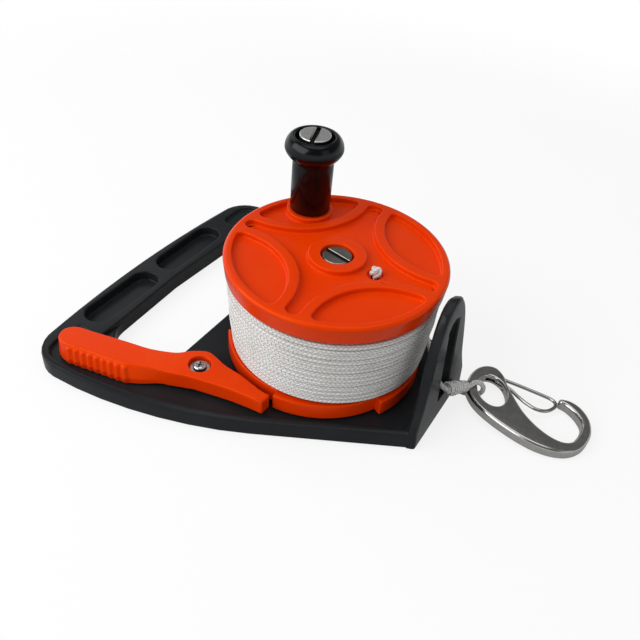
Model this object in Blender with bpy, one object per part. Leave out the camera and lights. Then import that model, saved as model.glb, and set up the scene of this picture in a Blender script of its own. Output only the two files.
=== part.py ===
"""Dive reel: a black moulded handle frame, an orange spool of braided line with a
toothed lower flange, a sprung lever that locks it, a crank knob and a snap hook.

Units are metres, +Z is up. The origin lies on the ground under the middle of the
frame. The spool turns about a vertical axle; the line leaves it through a slot in the
upright guide wall at +X, and the hand grips the bar at -X.
"""
import math

import bmesh
import bpy
from mathutils import Matrix, Vector

# Clearances shared by all pieces
GAP = 0.0003                    # between pieces that seat on each other
SHAFT_FIT = 0.0003              # radial, round every shaft and sleeve
CUT_OVERRUN = 0.002             # how far a cutter passes the face it leaves by

# Frame: handle bar at -X, guide wall at +X, x measured from the spool axis
HANDLE_REACH = 0.111            # spool axis to the bar's outer edge
FRONT_REACH = 0.0584            # spool axis to the guide wall's outer face
FRAME_HALF_WIDTH = 0.0799
FRAME_HEIGHT = 0.0085
EDGE_ROUND = 0.0015
HANDLE_BOW_RADIUS = 0.600
HANDLE_CORNER_RADIUS = 0.016
FLANK_ANGLE = math.radians(28.6)
FLANK_STRAIGHT_START = -0.003   # x where the straight flank begins
FLANK_CURVE_REACH = 0.029       # how far each end of the flank's curve keeps its heading
FRONT_HALF_WIDTH = 0.0241
FRONT_CORNER_RADIUS = 0.004
BAR_WIDTH = 0.0215
HAND_HOLE_DEPTH = 0.0375        # from the bar to the plate
HAND_HOLE_FLANK = 0.0269        # from the hand hole's end to the flank
HAND_HOLE_HALF_LENGTH = FRAME_HALF_WIDTH - HAND_HOLE_FLANK
HAND_HOLE_CORNER_RADIUS = 0.013
BAR_POCKET_WIDTH = 0.0135
BAR_POCKET_LENGTH = 0.0445
BAR_POCKET_DEPTH = 0.005
BAR_POCKET_WEB = 0.006
BAR_POCKET_SHIFT = -0.002       # y of the web between the two pockets
RIM_WIDTH = 0.0034              # rim left standing round the recessed floor
FLOOR_DEPTH = 0.002             # floor below the rim's top
FLOOR_CORNER_RADIUS = 0.008
FLOOR_BACK_INSET = 0.0097       # from the bar's outer edge to the floor's two wings
FLOOR_WING_RADIUS = 0.003
UNDERSIDE_DEPTH = 0.0032
UNDERSIDE_REACH = 0.0425
UNDERSIDE_BOSS_RADIUS = 0.013
UNDERSIDE_RIB = 0.0028
UNDERSIDE_POCKETS = 6

# Guide wall
GUIDE_HEIGHT = 0.064
GUIDE_HALF_WIDTH = 0.025
GUIDE_THICKNESS = 0.0045
GUIDE_LEAN = math.radians(3.43)
GUIDE_PROUD = 0.0007            # outer face ahead of the plate's edge at the ground
GUIDE_EDGE_ROUND = 0.0012
GUIDE_HALF_OUTLINE_SHARES = (   # half width and height, as shares of the wall's
    (1.0, 0.0), (1.0, 0.16), (0.88, 0.27), (0.77, 0.39), (0.64, 0.62),
    (0.52, 0.79), (0.37, 0.91), (0.19, 0.98), (0.0, 1.0))
SLOT_HALF_WIDTH = 0.005
SLOT_FOOT = 0.0115
SLOT_TOP = 0.053
SLOT_CORNER_RADIUS = 0.0045

# Axle
AXLE_SHANK_RADIUS = 0.003
AXLE_SLEEVE_WALL = 0.0013
AXLE_HEAD_RADIUS = 0.0062
AXLE_HEAD_HEIGHT = 0.0022
AXLE_HEAD_DROP = 0.0008         # head top below the spool's boss
LOWER_WASHER_RADIUS = 0.0095
LOWER_WASHER_THICKNESS = 0.0009
UPPER_WASHER_RADIUS = 0.0064
UPPER_WASHER_THICKNESS = 0.0007
SPOOL_END_PLAY = 0.0003
AXLE_NUT_CORNER_RADIUS = 0.0058
AXLE_NUT_HEIGHT = 0.0038
AXLE_NUT_INSET = 0.0004         # nut's face above the ground
AXLE_SLOT_ANGLE = math.radians(-17.0)

# Spool
RATCHET_TIP_RADIUS = 0.0453
RATCHET_TOOTH_DEPTH = 0.0035
RATCHET_TEETH = 6
RATCHET_PHASE = math.radians(-90.0)
RATCHET_THICKNESS = 0.0076
RATCHET_EDGE_ROUND = 0.0005
RATCHET_CORE_DEPTH = 0.0046
RATCHET_CORE_OUTER = 0.0375
FLANGE_RADIUS = 0.047
FLANGE_THICKNESS = 0.00865
FLANGE_TAPER = 0.0007
FLANGE_EDGE_ROUND = 0.0014
DRUM_RADIUS = 0.015
DRUM_WALL = 0.0025
HUB_WALL = 0.0035
BOSS_RADIUS = 0.0124
BOSS_RECESS_RADIUS = 0.00707
FACE_ANGLE = math.radians(5.5)  # rest angle of the star's first arm
FACE_DEPTH = 0.0025
FACE_RIM = 0.0037               # rim outside the pockets
LEAF_CENTRE_RADIUS = 0.0546     # centre of the leaf's inner arc from the spool axis
LEAF_RADIUS = 0.0306
LEAF_TIP_RADIUS = 0.0014
RIDGE_WIDTH = 0.0045
FACE_ARMS = 4

# Crank knob
KNOB_ORBIT_RADIUS = 0.0362      # spool axis to the knob's axis
KNOB_ANGLE = FACE_ANGLE + math.radians(135.0)
KNOB_BOSS_RADIUS = 0.0103
KNOB_BASE_RADIUS = 0.0086
KNOB_NECK_RADIUS = 0.0083
KNOB_HEAD_RADIUS = 0.0127
KNOB_LIP_RADIUS = 0.0098
KNOB_RECESS_RADIUS = 0.0084
KNOB_HEIGHT = 0.0354
KNOB_NECK_HEIGHT = 0.0220
KNOB_HEAD_LEVEL = 0.0295        # height of the widest place above the knob's base
KNOB_RECESS_DEPTH = 0.0046
KNOB_SLEEVE_RADIUS = 0.0047
KNOB_SHANK_RADIUS = 0.003
KNOB_WASHER_RADIUS = 0.0068
KNOB_WASHER_THICKNESS = 0.0008
KNOB_HEAD_SCREW_RADIUS = 0.0068
KNOB_HEAD_SCREW_HEIGHT = 0.0023
KNOB_FLARE_SHARES = ((0.12, 0.25), (0.42, 0.45), (0.78, 0.66), (0.96, 0.85))
KNOB_CROWN_SHARES = ((0.10, 0.38), (0.35, 0.70), (0.65, 0.91), (1.0, 1.0))
KNOB_SLOT_ANGLE = math.radians(-52.0)
KNOB_NUT_CORNER_RADIUS = 0.0056
KNOB_NUT_HEIGHT = 0.0038
SCREW_SLOT_WIDTH = 0.0015
SCREW_SLOT_DEPTH = 0.0012

# Line
LINE_DIAMETER = 0.0022
LINE_PITCH = 0.00265
LINE_LOOPS = 13
LINE_END_SLACK = 0.00025        # left over between the loops and a flange
LINE_POINTS_PER_LOOP = 24
WINDING_RADIUS = 0.0424
WINDING_END_ANGLE = math.radians(75.0)
WINDING_BEND_RADIUS = 0.0035
WINDING_BEND_STEPS = 4
KNOT_ORBIT_RADIUS = 0.0182      # spool axis to the knot's hole
KNOT_HOLE_RADIUS = 0.0016
KNOT_SEAT_RADIUS = 0.0033
KNOT_SEAT_DEPTH = 0.0014
KNOT_RADIUS = 0.0026
KNOT_NECK_RADIUS = 0.0012
KNOT_STEPS = 8
NOTCH_NEAR_SHARE = 0.2          # of the bend radius, from the bend's axis to the notch

# Lever, places measured from its pivot
PIVOT_X = -0.0355
PIVOT_Y = -0.0481
LEVER_LIFT = 0.0003             # underside above the frame's rim
LEVER_THICKNESS = 0.0068
LEVER_LENGTH = 0.0969
LEVER_SCREW_RECESS_RADIUS = 0.0045
LEVER_SCREW_RECESS_DEPTH = 0.003
LEVER_BUSH_RADIUS = 0.003
LEVER_BUSH_BORE = 0.0017
LEVER_SCREW_RADIUS = 0.0014
LEVER_SCREW_HEAD_RADIUS = 0.0029
LEVER_SCREW_HEAD_HEIGHT = 0.0014
LEVER_WASHER_RADIUS = 0.0041
LEVER_WASHER_THICKNESS = 0.0005
LEVER_BOSS_RADIUS = 0.0048
LEVER_SCREW_DEPTH = 0.006
SPRING_POCKET_RADIUS = 0.0066
SPRING_POCKET_DEPTH = 0.0031
SPRING_RADIUS = 0.0042
SPRING_WIRE = 0.0006
SPRING_TURNS = 2
SPRING_PITCH = 0.00105
SPRING_POINTS_PER_TURN = 12
PAD_RIBS = 9
PAD_RIB_DEPTH = 0.0008

# Snap hook, places measured from the centre of its eye
SNAP_X = 0.074
SNAP_Y = 0.0212
SNAP_LENGTH = 0.0575
SNAP_THICKNESS = 0.005
SNAP_EDGE_ROUND = 0.0011
SNAP_TILT = math.radians(2.7)
SNAP_EYE_LONG_RADIUS = 0.0090
SNAP_EYE_SHORT_RADIUS = 0.0066
SNAP_EYE_TURN = math.radians(-57.0)
GATE_WIRE = 0.0018
GATE_PIVOT_X = -0.0002
GATE_PIVOT_Y = 0.0106
GATE_LENGTH = 0.0266
GATE_PIN_RADIUS = 0.0006
GATE_SLOT_RADIUS = 0.0064
GATE_ROUTE_SHARES = (           # the wire loop's legs from its hinge round the nose end
    (0.0, -0.068), (0.128, -0.049), (0.259, -0.036), (0.414, -0.124),
    (0.594, -0.211), (0.771, -0.237), (0.921, -0.165), (0.992, -0.023),
    (0.985, 0.083), (0.902, 0.132), (0.722, 0.128), (0.372, 0.102), (0.128, 0.071))
SNAP_OUTLINE_SHARES = (         # plan points of the body, as shares of its length
    (-0.209, 0.014), (-0.188, -0.082), (-0.104, -0.176), (-0.014, -0.230),
    (0.097, -0.268), (0.202, -0.292), (0.350, -0.313), (0.487, -0.311),
    (0.610, -0.278), (0.704, -0.216), (0.767, -0.117), (0.788, 0.007),
    (0.774, 0.108), (0.725, 0.203), (0.638, 0.276), (0.558, 0.294),
    (0.497, 0.272), (0.489, 0.240), (0.505, 0.212), (0.553, 0.212),
    (0.630, 0.177), (0.696, 0.108), (0.708, 0.031), (0.697, -0.059),
    (0.677, -0.113), (0.624, -0.150), (0.546, -0.158), (0.447, -0.137),
    (0.350, -0.094), (0.264, -0.037), (0.162, 0.057), (0.083, 0.139),
    (0.030, 0.210), (-0.038, 0.256), (-0.090, 0.261), (-0.143, 0.235),
    (-0.184, 0.184), (-0.207, 0.110))

# Free line from the drum to the snap, and the knot that ties it
LEAD_HEIGHT = 0.0190
LEAD_TANGENT_ANGLE = math.radians(35.9)
LEAD_ROUTE = (                  # from the drum through the slot to the whipping
    (0.04500, 0.01400, 0.01860), (0.05220, 0.00370, 0.01790),
    (0.05460, 0.00130, 0.01740), (0.05700, 0.00020, 0.01680),
    (0.05920, 0.00090, 0.01610), (0.06040, 0.00270, 0.01550),
    (0.06090, 0.00460, 0.01456))
WHIPPING_RADIUS = 0.00275
WHIPPING_ENDS = ((0.06096, 0.00486, 0.01443), (0.06330, 0.01440, 0.00965))
EYE_LOOP_ROUTE = (              # from the whipping through the snap's eye and back
    (0.06480, 0.01445, 0.00945), (0.06535, 0.01650, 0.00880),
    (0.06620, 0.01880, 0.00905), (0.06830, 0.02020, 0.00880),
    (0.06990, 0.02080, 0.00690), (0.07010, 0.02070, 0.00420),
    (0.06860, 0.02010, 0.00180), (0.06560, 0.01900, 0.00120),
    (0.06230, 0.01790, 0.00120), (0.06020, 0.01720, 0.00230),
    (0.05980, 0.01690, 0.00450), (0.06040, 0.01660, 0.00680),
    (0.06160, 0.01620, 0.00830), (0.06210, 0.01500, 0.00930))
ROUTE_STEPS = 3                 # points drawn between two of a route's own

# Lever outline: plan point and outward flare of the underside, as shares of its
# length, from the tip round the inner side to the pad, then along the outer side
LEVER_TIP_CLEARANCE = 0.00045
LEVER_TIP_ANGLES = (math.radians(-91.0), math.radians(-106.0))
LEVER_TIP_STEPS = 4
LEVER_INNER_SHARES = (
    (0.175, 0.054, 0.0), (0.126, 0.057, 0.0), (0.086, 0.063, 0.003),
    (0.041, 0.076, 0.003), (0.0, 0.086, 0.003), (-0.035, 0.080, 0.003),
    (-0.089, 0.041, 0.003), (-0.119, 0.008, 0.003), (-0.157, -0.016, 0.003),
    (-0.243, -0.051, 0.003), (-0.341, -0.072, 0.003), (-0.440, -0.095, 0.003),
    (-0.540, -0.118, 0.003), (-0.594, -0.129, 0.003), (-0.628, -0.154, 0.003),
    (-0.639, -0.191, 0.005), (-0.619, -0.232, 0.020), (-0.583, -0.245, 0.045))
LEVER_PAD_SHARES = ((-0.560, -0.2446, 0.066), (-0.288, -0.192, 0.072))
LEVER_OUTER_SHARES = (
    (-0.237, -0.173, 0.068), (-0.181, -0.147, 0.058), (-0.129, -0.130, 0.038),
    (-0.073, -0.115, 0.020), (0.014, -0.086, 0.012), (0.106, -0.064, 0.011),
    (0.198, -0.045, 0.010), (0.291, -0.034, 0.007), (0.354, -0.030, 0.004))
LEVER_EDGE_ROUND = 0.0009
RIB_TOP_SHARE = 0.78            # height of the ribs' upper ends
SHOULDER_FLARE_SHARE = 0.055    # flare left at the lever's shoulder

# Fineness of the round shapes
LARGE_SEGMENTS = 60
MEDIUM_SEGMENTS = 36
SMALL_SEGMENTS = 20
HEX_SIDES = 6
ARC_STEPS = 7
LEAF_STEPS = 10
HOOK_STEPS = 4
SHARP_ANGLE = math.radians(35.0)
MITRE_SHARE = 0.5               # least cosine that a mitred corner is drawn out by
CORD_RESOLUTION = 2
WIRE_RESOLUTION = 1

# Plain finishes: name, colour, roughness, metallic
FINISHES = (
    ("black_plastic", (0.012, 0.013, 0.015), 0.38, 0.0),
    ("orange_plastic", (0.80, 0.06, 0.004), 0.32, 0.0),
    ("gloss_black", (0.008, 0.008, 0.009), 0.22, 0.0),
    ("stainless_steel", (0.55, 0.54, 0.52), 0.25, 1.0),
    ("dark_steel", (0.20, 0.20, 0.20), 0.28, 1.0),
    ("braided_line", (0.72, 0.71, 0.68), 0.85, 0.0))

# Heights that follow from the stack of pieces
FLOOR_LEVEL = FRAME_HEIGHT - FLOOR_DEPTH
RATCHET_BOTTOM = FLOOR_LEVEL + 2 * GAP + LOWER_WASHER_THICKNESS
RATCHET_TOP = RATCHET_BOTTOM + RATCHET_THICKNESS
LINE_WINDOW = LINE_LOOPS * LINE_PITCH + LINE_DIAMETER + 2 * GAP + LINE_END_SLACK
FLANGE_BOTTOM = RATCHET_TOP + LINE_WINDOW
FLANGE_TOP = FLANGE_BOTTOM + FLANGE_THICKNESS
AXLE_HEAD_TOP = FLANGE_TOP - AXLE_HEAD_DROP
AXLE_HEAD_BOTTOM = AXLE_HEAD_TOP - AXLE_HEAD_HEIGHT
UPPER_WASHER_BOTTOM = AXLE_HEAD_BOTTOM - GAP - UPPER_WASHER_THICKNESS
BOSS_FLOOR = UPPER_WASHER_BOTTOM - GAP - SPOOL_END_PLAY
SLEEVE_RADIUS = AXLE_SHANK_RADIUS + SHAFT_FIT + AXLE_SLEEVE_WALL
HUB_BORE = SLEEVE_RADIUS + SHAFT_FIT
KNOB_BASE = FLANGE_TOP + GAP
KNOB_TOP = KNOB_BASE + KNOB_HEIGHT
KNOB_RECESS_FLOOR = KNOB_TOP - KNOB_RECESS_DEPTH
LEVER_BOTTOM = FRAME_HEIGHT + LEVER_LIFT
LEVER_TOP = LEVER_BOTTOM + LEVER_THICKNESS
LEVER_RECESS_FLOOR = LEVER_TOP - LEVER_SCREW_RECESS_DEPTH
SPOOL_X = (HANDLE_REACH - FRONT_REACH) / 2
CORE_RADIUS = (WINDING_RADIUS * math.cos(math.pi / LINE_POINTS_PER_LOOP)
               - LINE_DIAMETER / 2 - GAP)


def clear_scene():
    """Remove every object of the current file."""
    for old in list(bpy.data.objects):
        bpy.data.objects.remove(old, do_unlink=True)


def make_material(name, colour, roughness, metallic):
    """Return a plain Principled BSDF material."""
    material = bpy.data.materials.new(name)
    material.use_nodes = True
    shader = material.node_tree.nodes["Principled BSDF"]
    shader.inputs["Base Color"].default_value = (*colour, 1.0)
    shader.inputs["Roughness"].default_value = roughness
    shader.inputs["Metallic"].default_value = metallic
    material.diffuse_color = (*colour, 1.0)
    return material


def make_empty(name, location, parent=None):
    """Return an empty that carries pieces; location is measured from its parent."""
    empty = bpy.data.objects.new(name, None)
    empty.location = location
    empty.parent = parent
    bpy.context.collection.objects.link(empty)
    return empty


def add_object(name, data, parent, material=None, location=(0.0, 0.0, 0.0)):
    """Link an object to the scene under its parent."""
    piece = bpy.data.objects.new(name, data)
    piece.location = location
    piece.parent = parent
    if material is not None:
        data.materials.append(material)
    bpy.context.collection.objects.link(piece)
    return piece


def add_mesh(name, shape, parent, material=None, location=(0.0, 0.0, 0.0)):
    """Turn a bmesh into a smooth-shaded object whose faces point outwards."""
    bmesh.ops.recalc_face_normals(shape, faces=shape.faces)
    mesh = bpy.data.meshes.new(name)
    shape.to_mesh(mesh)
    shape.free()
    mesh.shade_smooth()
    mesh.set_sharp_from_angle(angle=SHARP_ANGLE)
    return add_object(name, mesh, parent, material, location)


def hide_tool(tool):
    """Keep a cutting or joining shape out of the finished model."""
    tool.hide_render = True
    tool.display_type = "WIRE"
    return tool


def apply_boolean(piece, tool, operation="DIFFERENCE"):
    """Cut the tool out of the piece, or join it on."""
    modifier = piece.modifiers.new(operation.title(), "BOOLEAN")
    modifier.operation = operation
    modifier.solver = "EXACT"
    modifier.object = hide_tool(tool)


def polar(radius, angle):
    """Return the plan point at a radius and an angle."""
    return radius * math.cos(angle), radius * math.sin(angle)


def arc(centre, radius, start, end, steps):
    """Return steps + 1 plan points along an arc."""
    points = []
    for step in range(steps + 1):
        dx, dy = polar(radius, start + (end - start) * step / steps)
        points.append((centre[0] + dx, centre[1] + dy))
    return points


def fillet(corners, steps):
    """Round a polygon's corners, each given as (x, y, radius)."""
    points = []
    for index, (x, y, radius) in enumerate(corners):
        here = Vector((x, y))
        before = (Vector(corners[index - 1][:2]) - here).normalized()
        after = (Vector(corners[(index + 1) % len(corners)][:2]) - here).normalized()
        half = before.angle(after) / 2
        if radius == 0.0:
            points.append((x, y))
            continue
        middle = here + (before + after).normalized() * radius / math.sin(half)
        start = here + before * radius / math.tan(half) - middle
        end = here + after * radius / math.tan(half) - middle
        begin = math.atan2(start.y, start.x)
        turn = math.atan2(end.y, end.x) - begin
        turn = (turn + math.pi) % (2 * math.pi) - math.pi
        points += arc(middle, radius, begin, begin + turn, steps)
    return points


def spline(points, steps, closed=False):
    """Return a smooth run through the points, with the given steps between two."""
    rows = [Vector(point) for point in points]
    count = len(rows)
    if not closed:
        rows = [2 * rows[0] - rows[1], *rows, 2 * rows[-1] - rows[-2]]
    spans = count if closed else count - 1
    result = []
    for span in range(spans):
        shift = span - 1 if closed else span
        a, b, c, d = (rows[(shift + k) % len(rows)] for k in range(4))
        for step in range(steps):
            t = step / steps
            result.append((2 * b + (c - a) * t + (2 * a - 5 * b + 4 * c - d) * t ** 2
                           + (3 * b - a - 3 * c + d) * t ** 3) / 2)
    if not closed:
        result.append(rows[-2])
    return [tuple(point) for point in result]


def normals(outline):
    """Return the outward normal at each point of a counter-clockwise outline."""
    result = []
    for index, point in enumerate(outline):
        before = Vector(point) - Vector(outline[index - 1])
        after = Vector(outline[(index + 1) % len(outline)]) - Vector(point)
        side_a = Vector((before.y, -before.x)).normalized()
        side_b = Vector((after.y, -after.x)).normalized()
        bisector = (side_a + side_b).normalized()
        result.append(bisector / max(bisector.dot(side_a), MITRE_SHARE))
    return result


def grow(outline, distance):
    """Move a counter-clockwise outline outwards by a distance."""
    return [(x + distance * n.x, y + distance * n.y)
            for (x, y), n in zip(outline, normals(outline))]


def stack(levels):
    """Build a closed body through (outline, height) levels, capped at both ends."""
    shape = bmesh.new()
    rings = [[shape.verts.new((x, y, height)) for x, y in outline]
             for outline, height in levels]
    for low, high in zip(rings, rings[1:]):
        for index in range(len(low)):
            after = (index + 1) % len(low)
            shape.faces.new((low[index], low[after], high[after], high[index]))
    shape.faces.new(rings[0][::-1])
    shape.faces.new(rings[-1])
    return shape


def rounded_prism(outline, bottom, top, radius_top=0.0, radius_bottom=0.0):
    """Extrude an outline between two heights, its long edges eased by 45 degrees."""
    levels = []
    if radius_bottom:
        levels.append((grow(outline, -radius_bottom), bottom))
    levels.append((outline, bottom + radius_bottom))
    if radius_top:
        shoulder = radius_top * (1 - math.sqrt(0.5))
        levels.append((outline, top - radius_top))
        levels.append((grow(outline, -shoulder), top - shoulder))
        levels.append((grow(outline, -radius_top), top))
    else:
        levels.append((outline, top))
    return stack(levels)


def turned(profile, segments):
    """Revolve a closed (radius, height) profile round Z; radius 0 makes a pole."""
    shape = bmesh.new()
    rings = []
    for radius, height in profile:
        if radius == 0.0:
            rings.append([shape.verts.new((0.0, 0.0, height))])
            continue
        rings.append([shape.verts.new((*polar(radius, 2 * math.pi * k / segments), height))
                      for k in range(segments)])
    open_ends = len(rings[0]) == 1
    pairs = list(zip(rings, rings[1:]))
    if not open_ends:
        pairs.append((rings[-1], rings[0]))
    for low, high in pairs:
        for k in range(segments):
            corners = [low[k % len(low)], low[(k + 1) % len(low)],
                       high[(k + 1) % len(high)], high[k % len(high)]]
            distinct = [c for i, c in enumerate(corners) if c not in corners[:i]]
            if len(distinct) > 2:
                shape.faces.new(distinct)
    return shape


def disc(radius, bottom, top, segments):
    """Return a plain cylinder."""
    return turned([(0.0, bottom), (radius, bottom), (radius, top), (0.0, top)], segments)


def ring(bore, radius, bottom, top, segments):
    """Return a plain tube or washer."""
    return turned([(bore, bottom), (radius, bottom), (radius, top), (bore, top)], segments)


def box(size, centre, turn=0.0):
    """Return a box of a size about a centre, turned about Z through the origin."""
    shape = bmesh.new()
    bmesh.ops.create_cube(shape, size=1.0)
    bmesh.ops.scale(shape, vec=size, verts=shape.verts)
    bmesh.ops.translate(shape, vec=centre, verts=shape.verts)
    bmesh.ops.rotate(shape, matrix=Matrix.Rotation(turn, 3, "Z"), verts=shape.verts)
    return shape


def moved(shape, offset):
    """Shift a bmesh and return it."""
    bmesh.ops.translate(shape, vec=offset, verts=shape.verts)
    return shape


def add_tube(name, points, radius, parent, material, resolution):
    """Return a round cord or wire through the points, with closed ends."""
    curve = bpy.data.curves.new(name, "CURVE")
    curve.dimensions = "3D"
    curve.bevel_depth = radius
    curve.bevel_resolution = resolution
    curve.use_fill_caps = True
    run = curve.splines.new("POLY")
    run.points.add(len(points) - 1)
    for slot, point in zip(run.points, points):
        slot.co = (*point, 1.0)
    return add_object(name, curve, parent, material)


def frame_outline():
    """Plan outline of the frame: bowed bar, round corners, curved then straight flanks."""
    corner_y = FRAME_HALF_WIDTH - HANDLE_CORNER_RADIUS
    bow = corner_y ** 2 / (2 * HANDLE_BOW_RADIUS)
    corner_x = -HANDLE_REACH + bow + HANDLE_CORNER_RADIUS
    half = []
    for step in range(ARC_STEPS):
        y = -corner_y * step / ARC_STEPS
        half.append((-HANDLE_REACH + y ** 2 / (2 * HANDLE_BOW_RADIUS), y))
    half += arc((corner_x, -corner_y), HANDLE_CORNER_RADIUS, math.pi, 1.5 * math.pi,
                ARC_STEPS)
    front_x = FRONT_REACH - GUIDE_PROUD
    slope = math.tan(FLANK_ANGLE)
    straight_y = -FRONT_HALF_WIDTH - (front_x - FLANK_STRAIGHT_START) * slope
    start = Vector((corner_x, -FRAME_HALF_WIDTH))
    end = Vector((FLANK_STRAIGHT_START, straight_y))
    lead_in = start + Vector((FLANK_CURVE_REACH, 0.0))
    lead_out = end - FLANK_CURVE_REACH * Vector(polar(1.0, FLANK_ANGLE))
    for step in range(1, ARC_STEPS + 1):
        t = step / ARC_STEPS
        point = (start * (1 - t) ** 3 + 3 * lead_in * t * (1 - t) ** 2
                 + 3 * lead_out * t ** 2 * (1 - t) + end * t ** 3)
        half.append(tuple(point))
    quarter = math.pi / 2
    tangent = FRONT_CORNER_RADIUS * math.tan((quarter - FLANK_ANGLE) / 2)
    centre = (front_x - FRONT_CORNER_RADIUS, -FRONT_HALF_WIDTH + tangent)
    half += arc(centre, FRONT_CORNER_RADIUS, FLANK_ANGLE - quarter, 0.0, ARC_STEPS // 2)
    mirrored = [(x, -y) for x, y in half[:0:-1]]
    return half + mirrored


def hand_hole_outline():
    """Rounded opening between the bar and the plate."""
    back = -HANDLE_REACH + BAR_WIDTH
    front = back + HAND_HOLE_DEPTH
    bowed = back + HAND_HOLE_HALF_LENGTH ** 2 / (2 * HANDLE_BOW_RADIUS)
    radius = HAND_HOLE_CORNER_RADIUS
    length = HAND_HOLE_HALF_LENGTH
    corners = [(back, 0.0, 0.0), (bowed, -length, radius),
               (front, -length, radius), (front, length, radius),
               (bowed, length, radius)]
    return fillet(corners, ARC_STEPS)


def floor_outline():
    """Sunk floor of the plate, inside the rim, with a wing at each end of the bar."""
    inner = grow(frame_outline(), -RIM_WIDTH)
    bar_side = -HANDLE_REACH + BAR_WIDTH + RIM_WIDTH / 2
    back = -HANDLE_REACH + FLOOR_BACK_INSET
    wing = HAND_HOLE_HALF_LENGTH + RIM_WIDTH / 2
    front = FRONT_REACH - GUIDE_THICKNESS - CUT_OVERRUN
    kept = [(x, y) for x, y in inner if back < x < front]
    lower = sorted(point for point in kept if point[1] < 0.0)
    slope = math.tan(FLANK_ANGLE)
    tail = lower[-1]
    lower.append((front, tail[1] + (front - tail[0]) * slope))
    corner = -FRAME_HALF_WIDTH + RIM_WIDTH
    rounded = [(bar_side, -wing)]
    rounded += arc((back + FLOOR_WING_RADIUS, -wing - FLOOR_WING_RADIUS),
                   FLOOR_WING_RADIUS, math.pi / 2, math.pi, ARC_STEPS // 2)
    rounded += arc((back + FLOOR_CORNER_RADIUS, corner + FLOOR_CORNER_RADIUS),
                   FLOOR_CORNER_RADIUS, math.pi, 1.5 * math.pi, ARC_STEPS // 2)
    lower = rounded + [point for point in lower if point[0] > rounded[-1][0] + RIM_WIDTH]
    return lower + [(x, -y) for x, y in lower[::-1]]


def pocket_outline(centre_y):
    """Round-ended pocket in the top of the bar."""
    radius = BAR_POCKET_WIDTH / 2
    middle = -HANDLE_REACH + BAR_WIDTH / 2 + centre_y ** 2 / (2 * HANDLE_BOW_RADIUS)
    reach = BAR_POCKET_LENGTH / 2 - radius
    return (arc((middle, centre_y + reach), radius, 0.0, math.pi, ARC_STEPS)
            + arc((middle, centre_y - reach), radius, math.pi, 2 * math.pi, ARC_STEPS))


def underside_outline(index):
    """One sector of the cored underside, between two ribs."""
    pitch = 2 * math.pi / UNDERSIDE_POCKETS
    middle = index * pitch
    outer_half = pitch / 2 - UNDERSIDE_RIB / (2 * UNDERSIDE_REACH)
    inner_half = pitch / 2 - UNDERSIDE_RIB / (2 * UNDERSIDE_BOSS_RADIUS)
    outer = arc((0.0, 0.0), UNDERSIDE_REACH, middle - outer_half, middle + outer_half,
                ARC_STEPS)
    inner = arc((0.0, 0.0), UNDERSIDE_BOSS_RADIUS, middle + inner_half,
                middle - inner_half, ARC_STEPS // 2)
    return outer + inner


def guide_wall_outline():
    """Arched guide wall, seen along X: half widths and heights mirrored."""
    half = [(GUIDE_HALF_WIDTH * w, GUIDE_HEIGHT * h) for w, h in GUIDE_HALF_OUTLINE_SHARES]
    smooth = [half[0]] + spline(half[1:], 2)
    return smooth + [(-y, z) for y, z in smooth[-2::-1]]


def upright(outline, inner, outer, edge=0.0):
    """Extrude a (y, z) outline along X from inner to outer, easing its edges."""
    shape = rounded_prism(outline, inner, outer, edge, edge)
    swap = Matrix(((0, 0, 1, 0), (1, 0, 0, 0), (0, 1, 0, 0), (0, 0, 0, 1)))
    bmesh.ops.transform(shape, matrix=swap, verts=shape.verts)
    return shape


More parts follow.
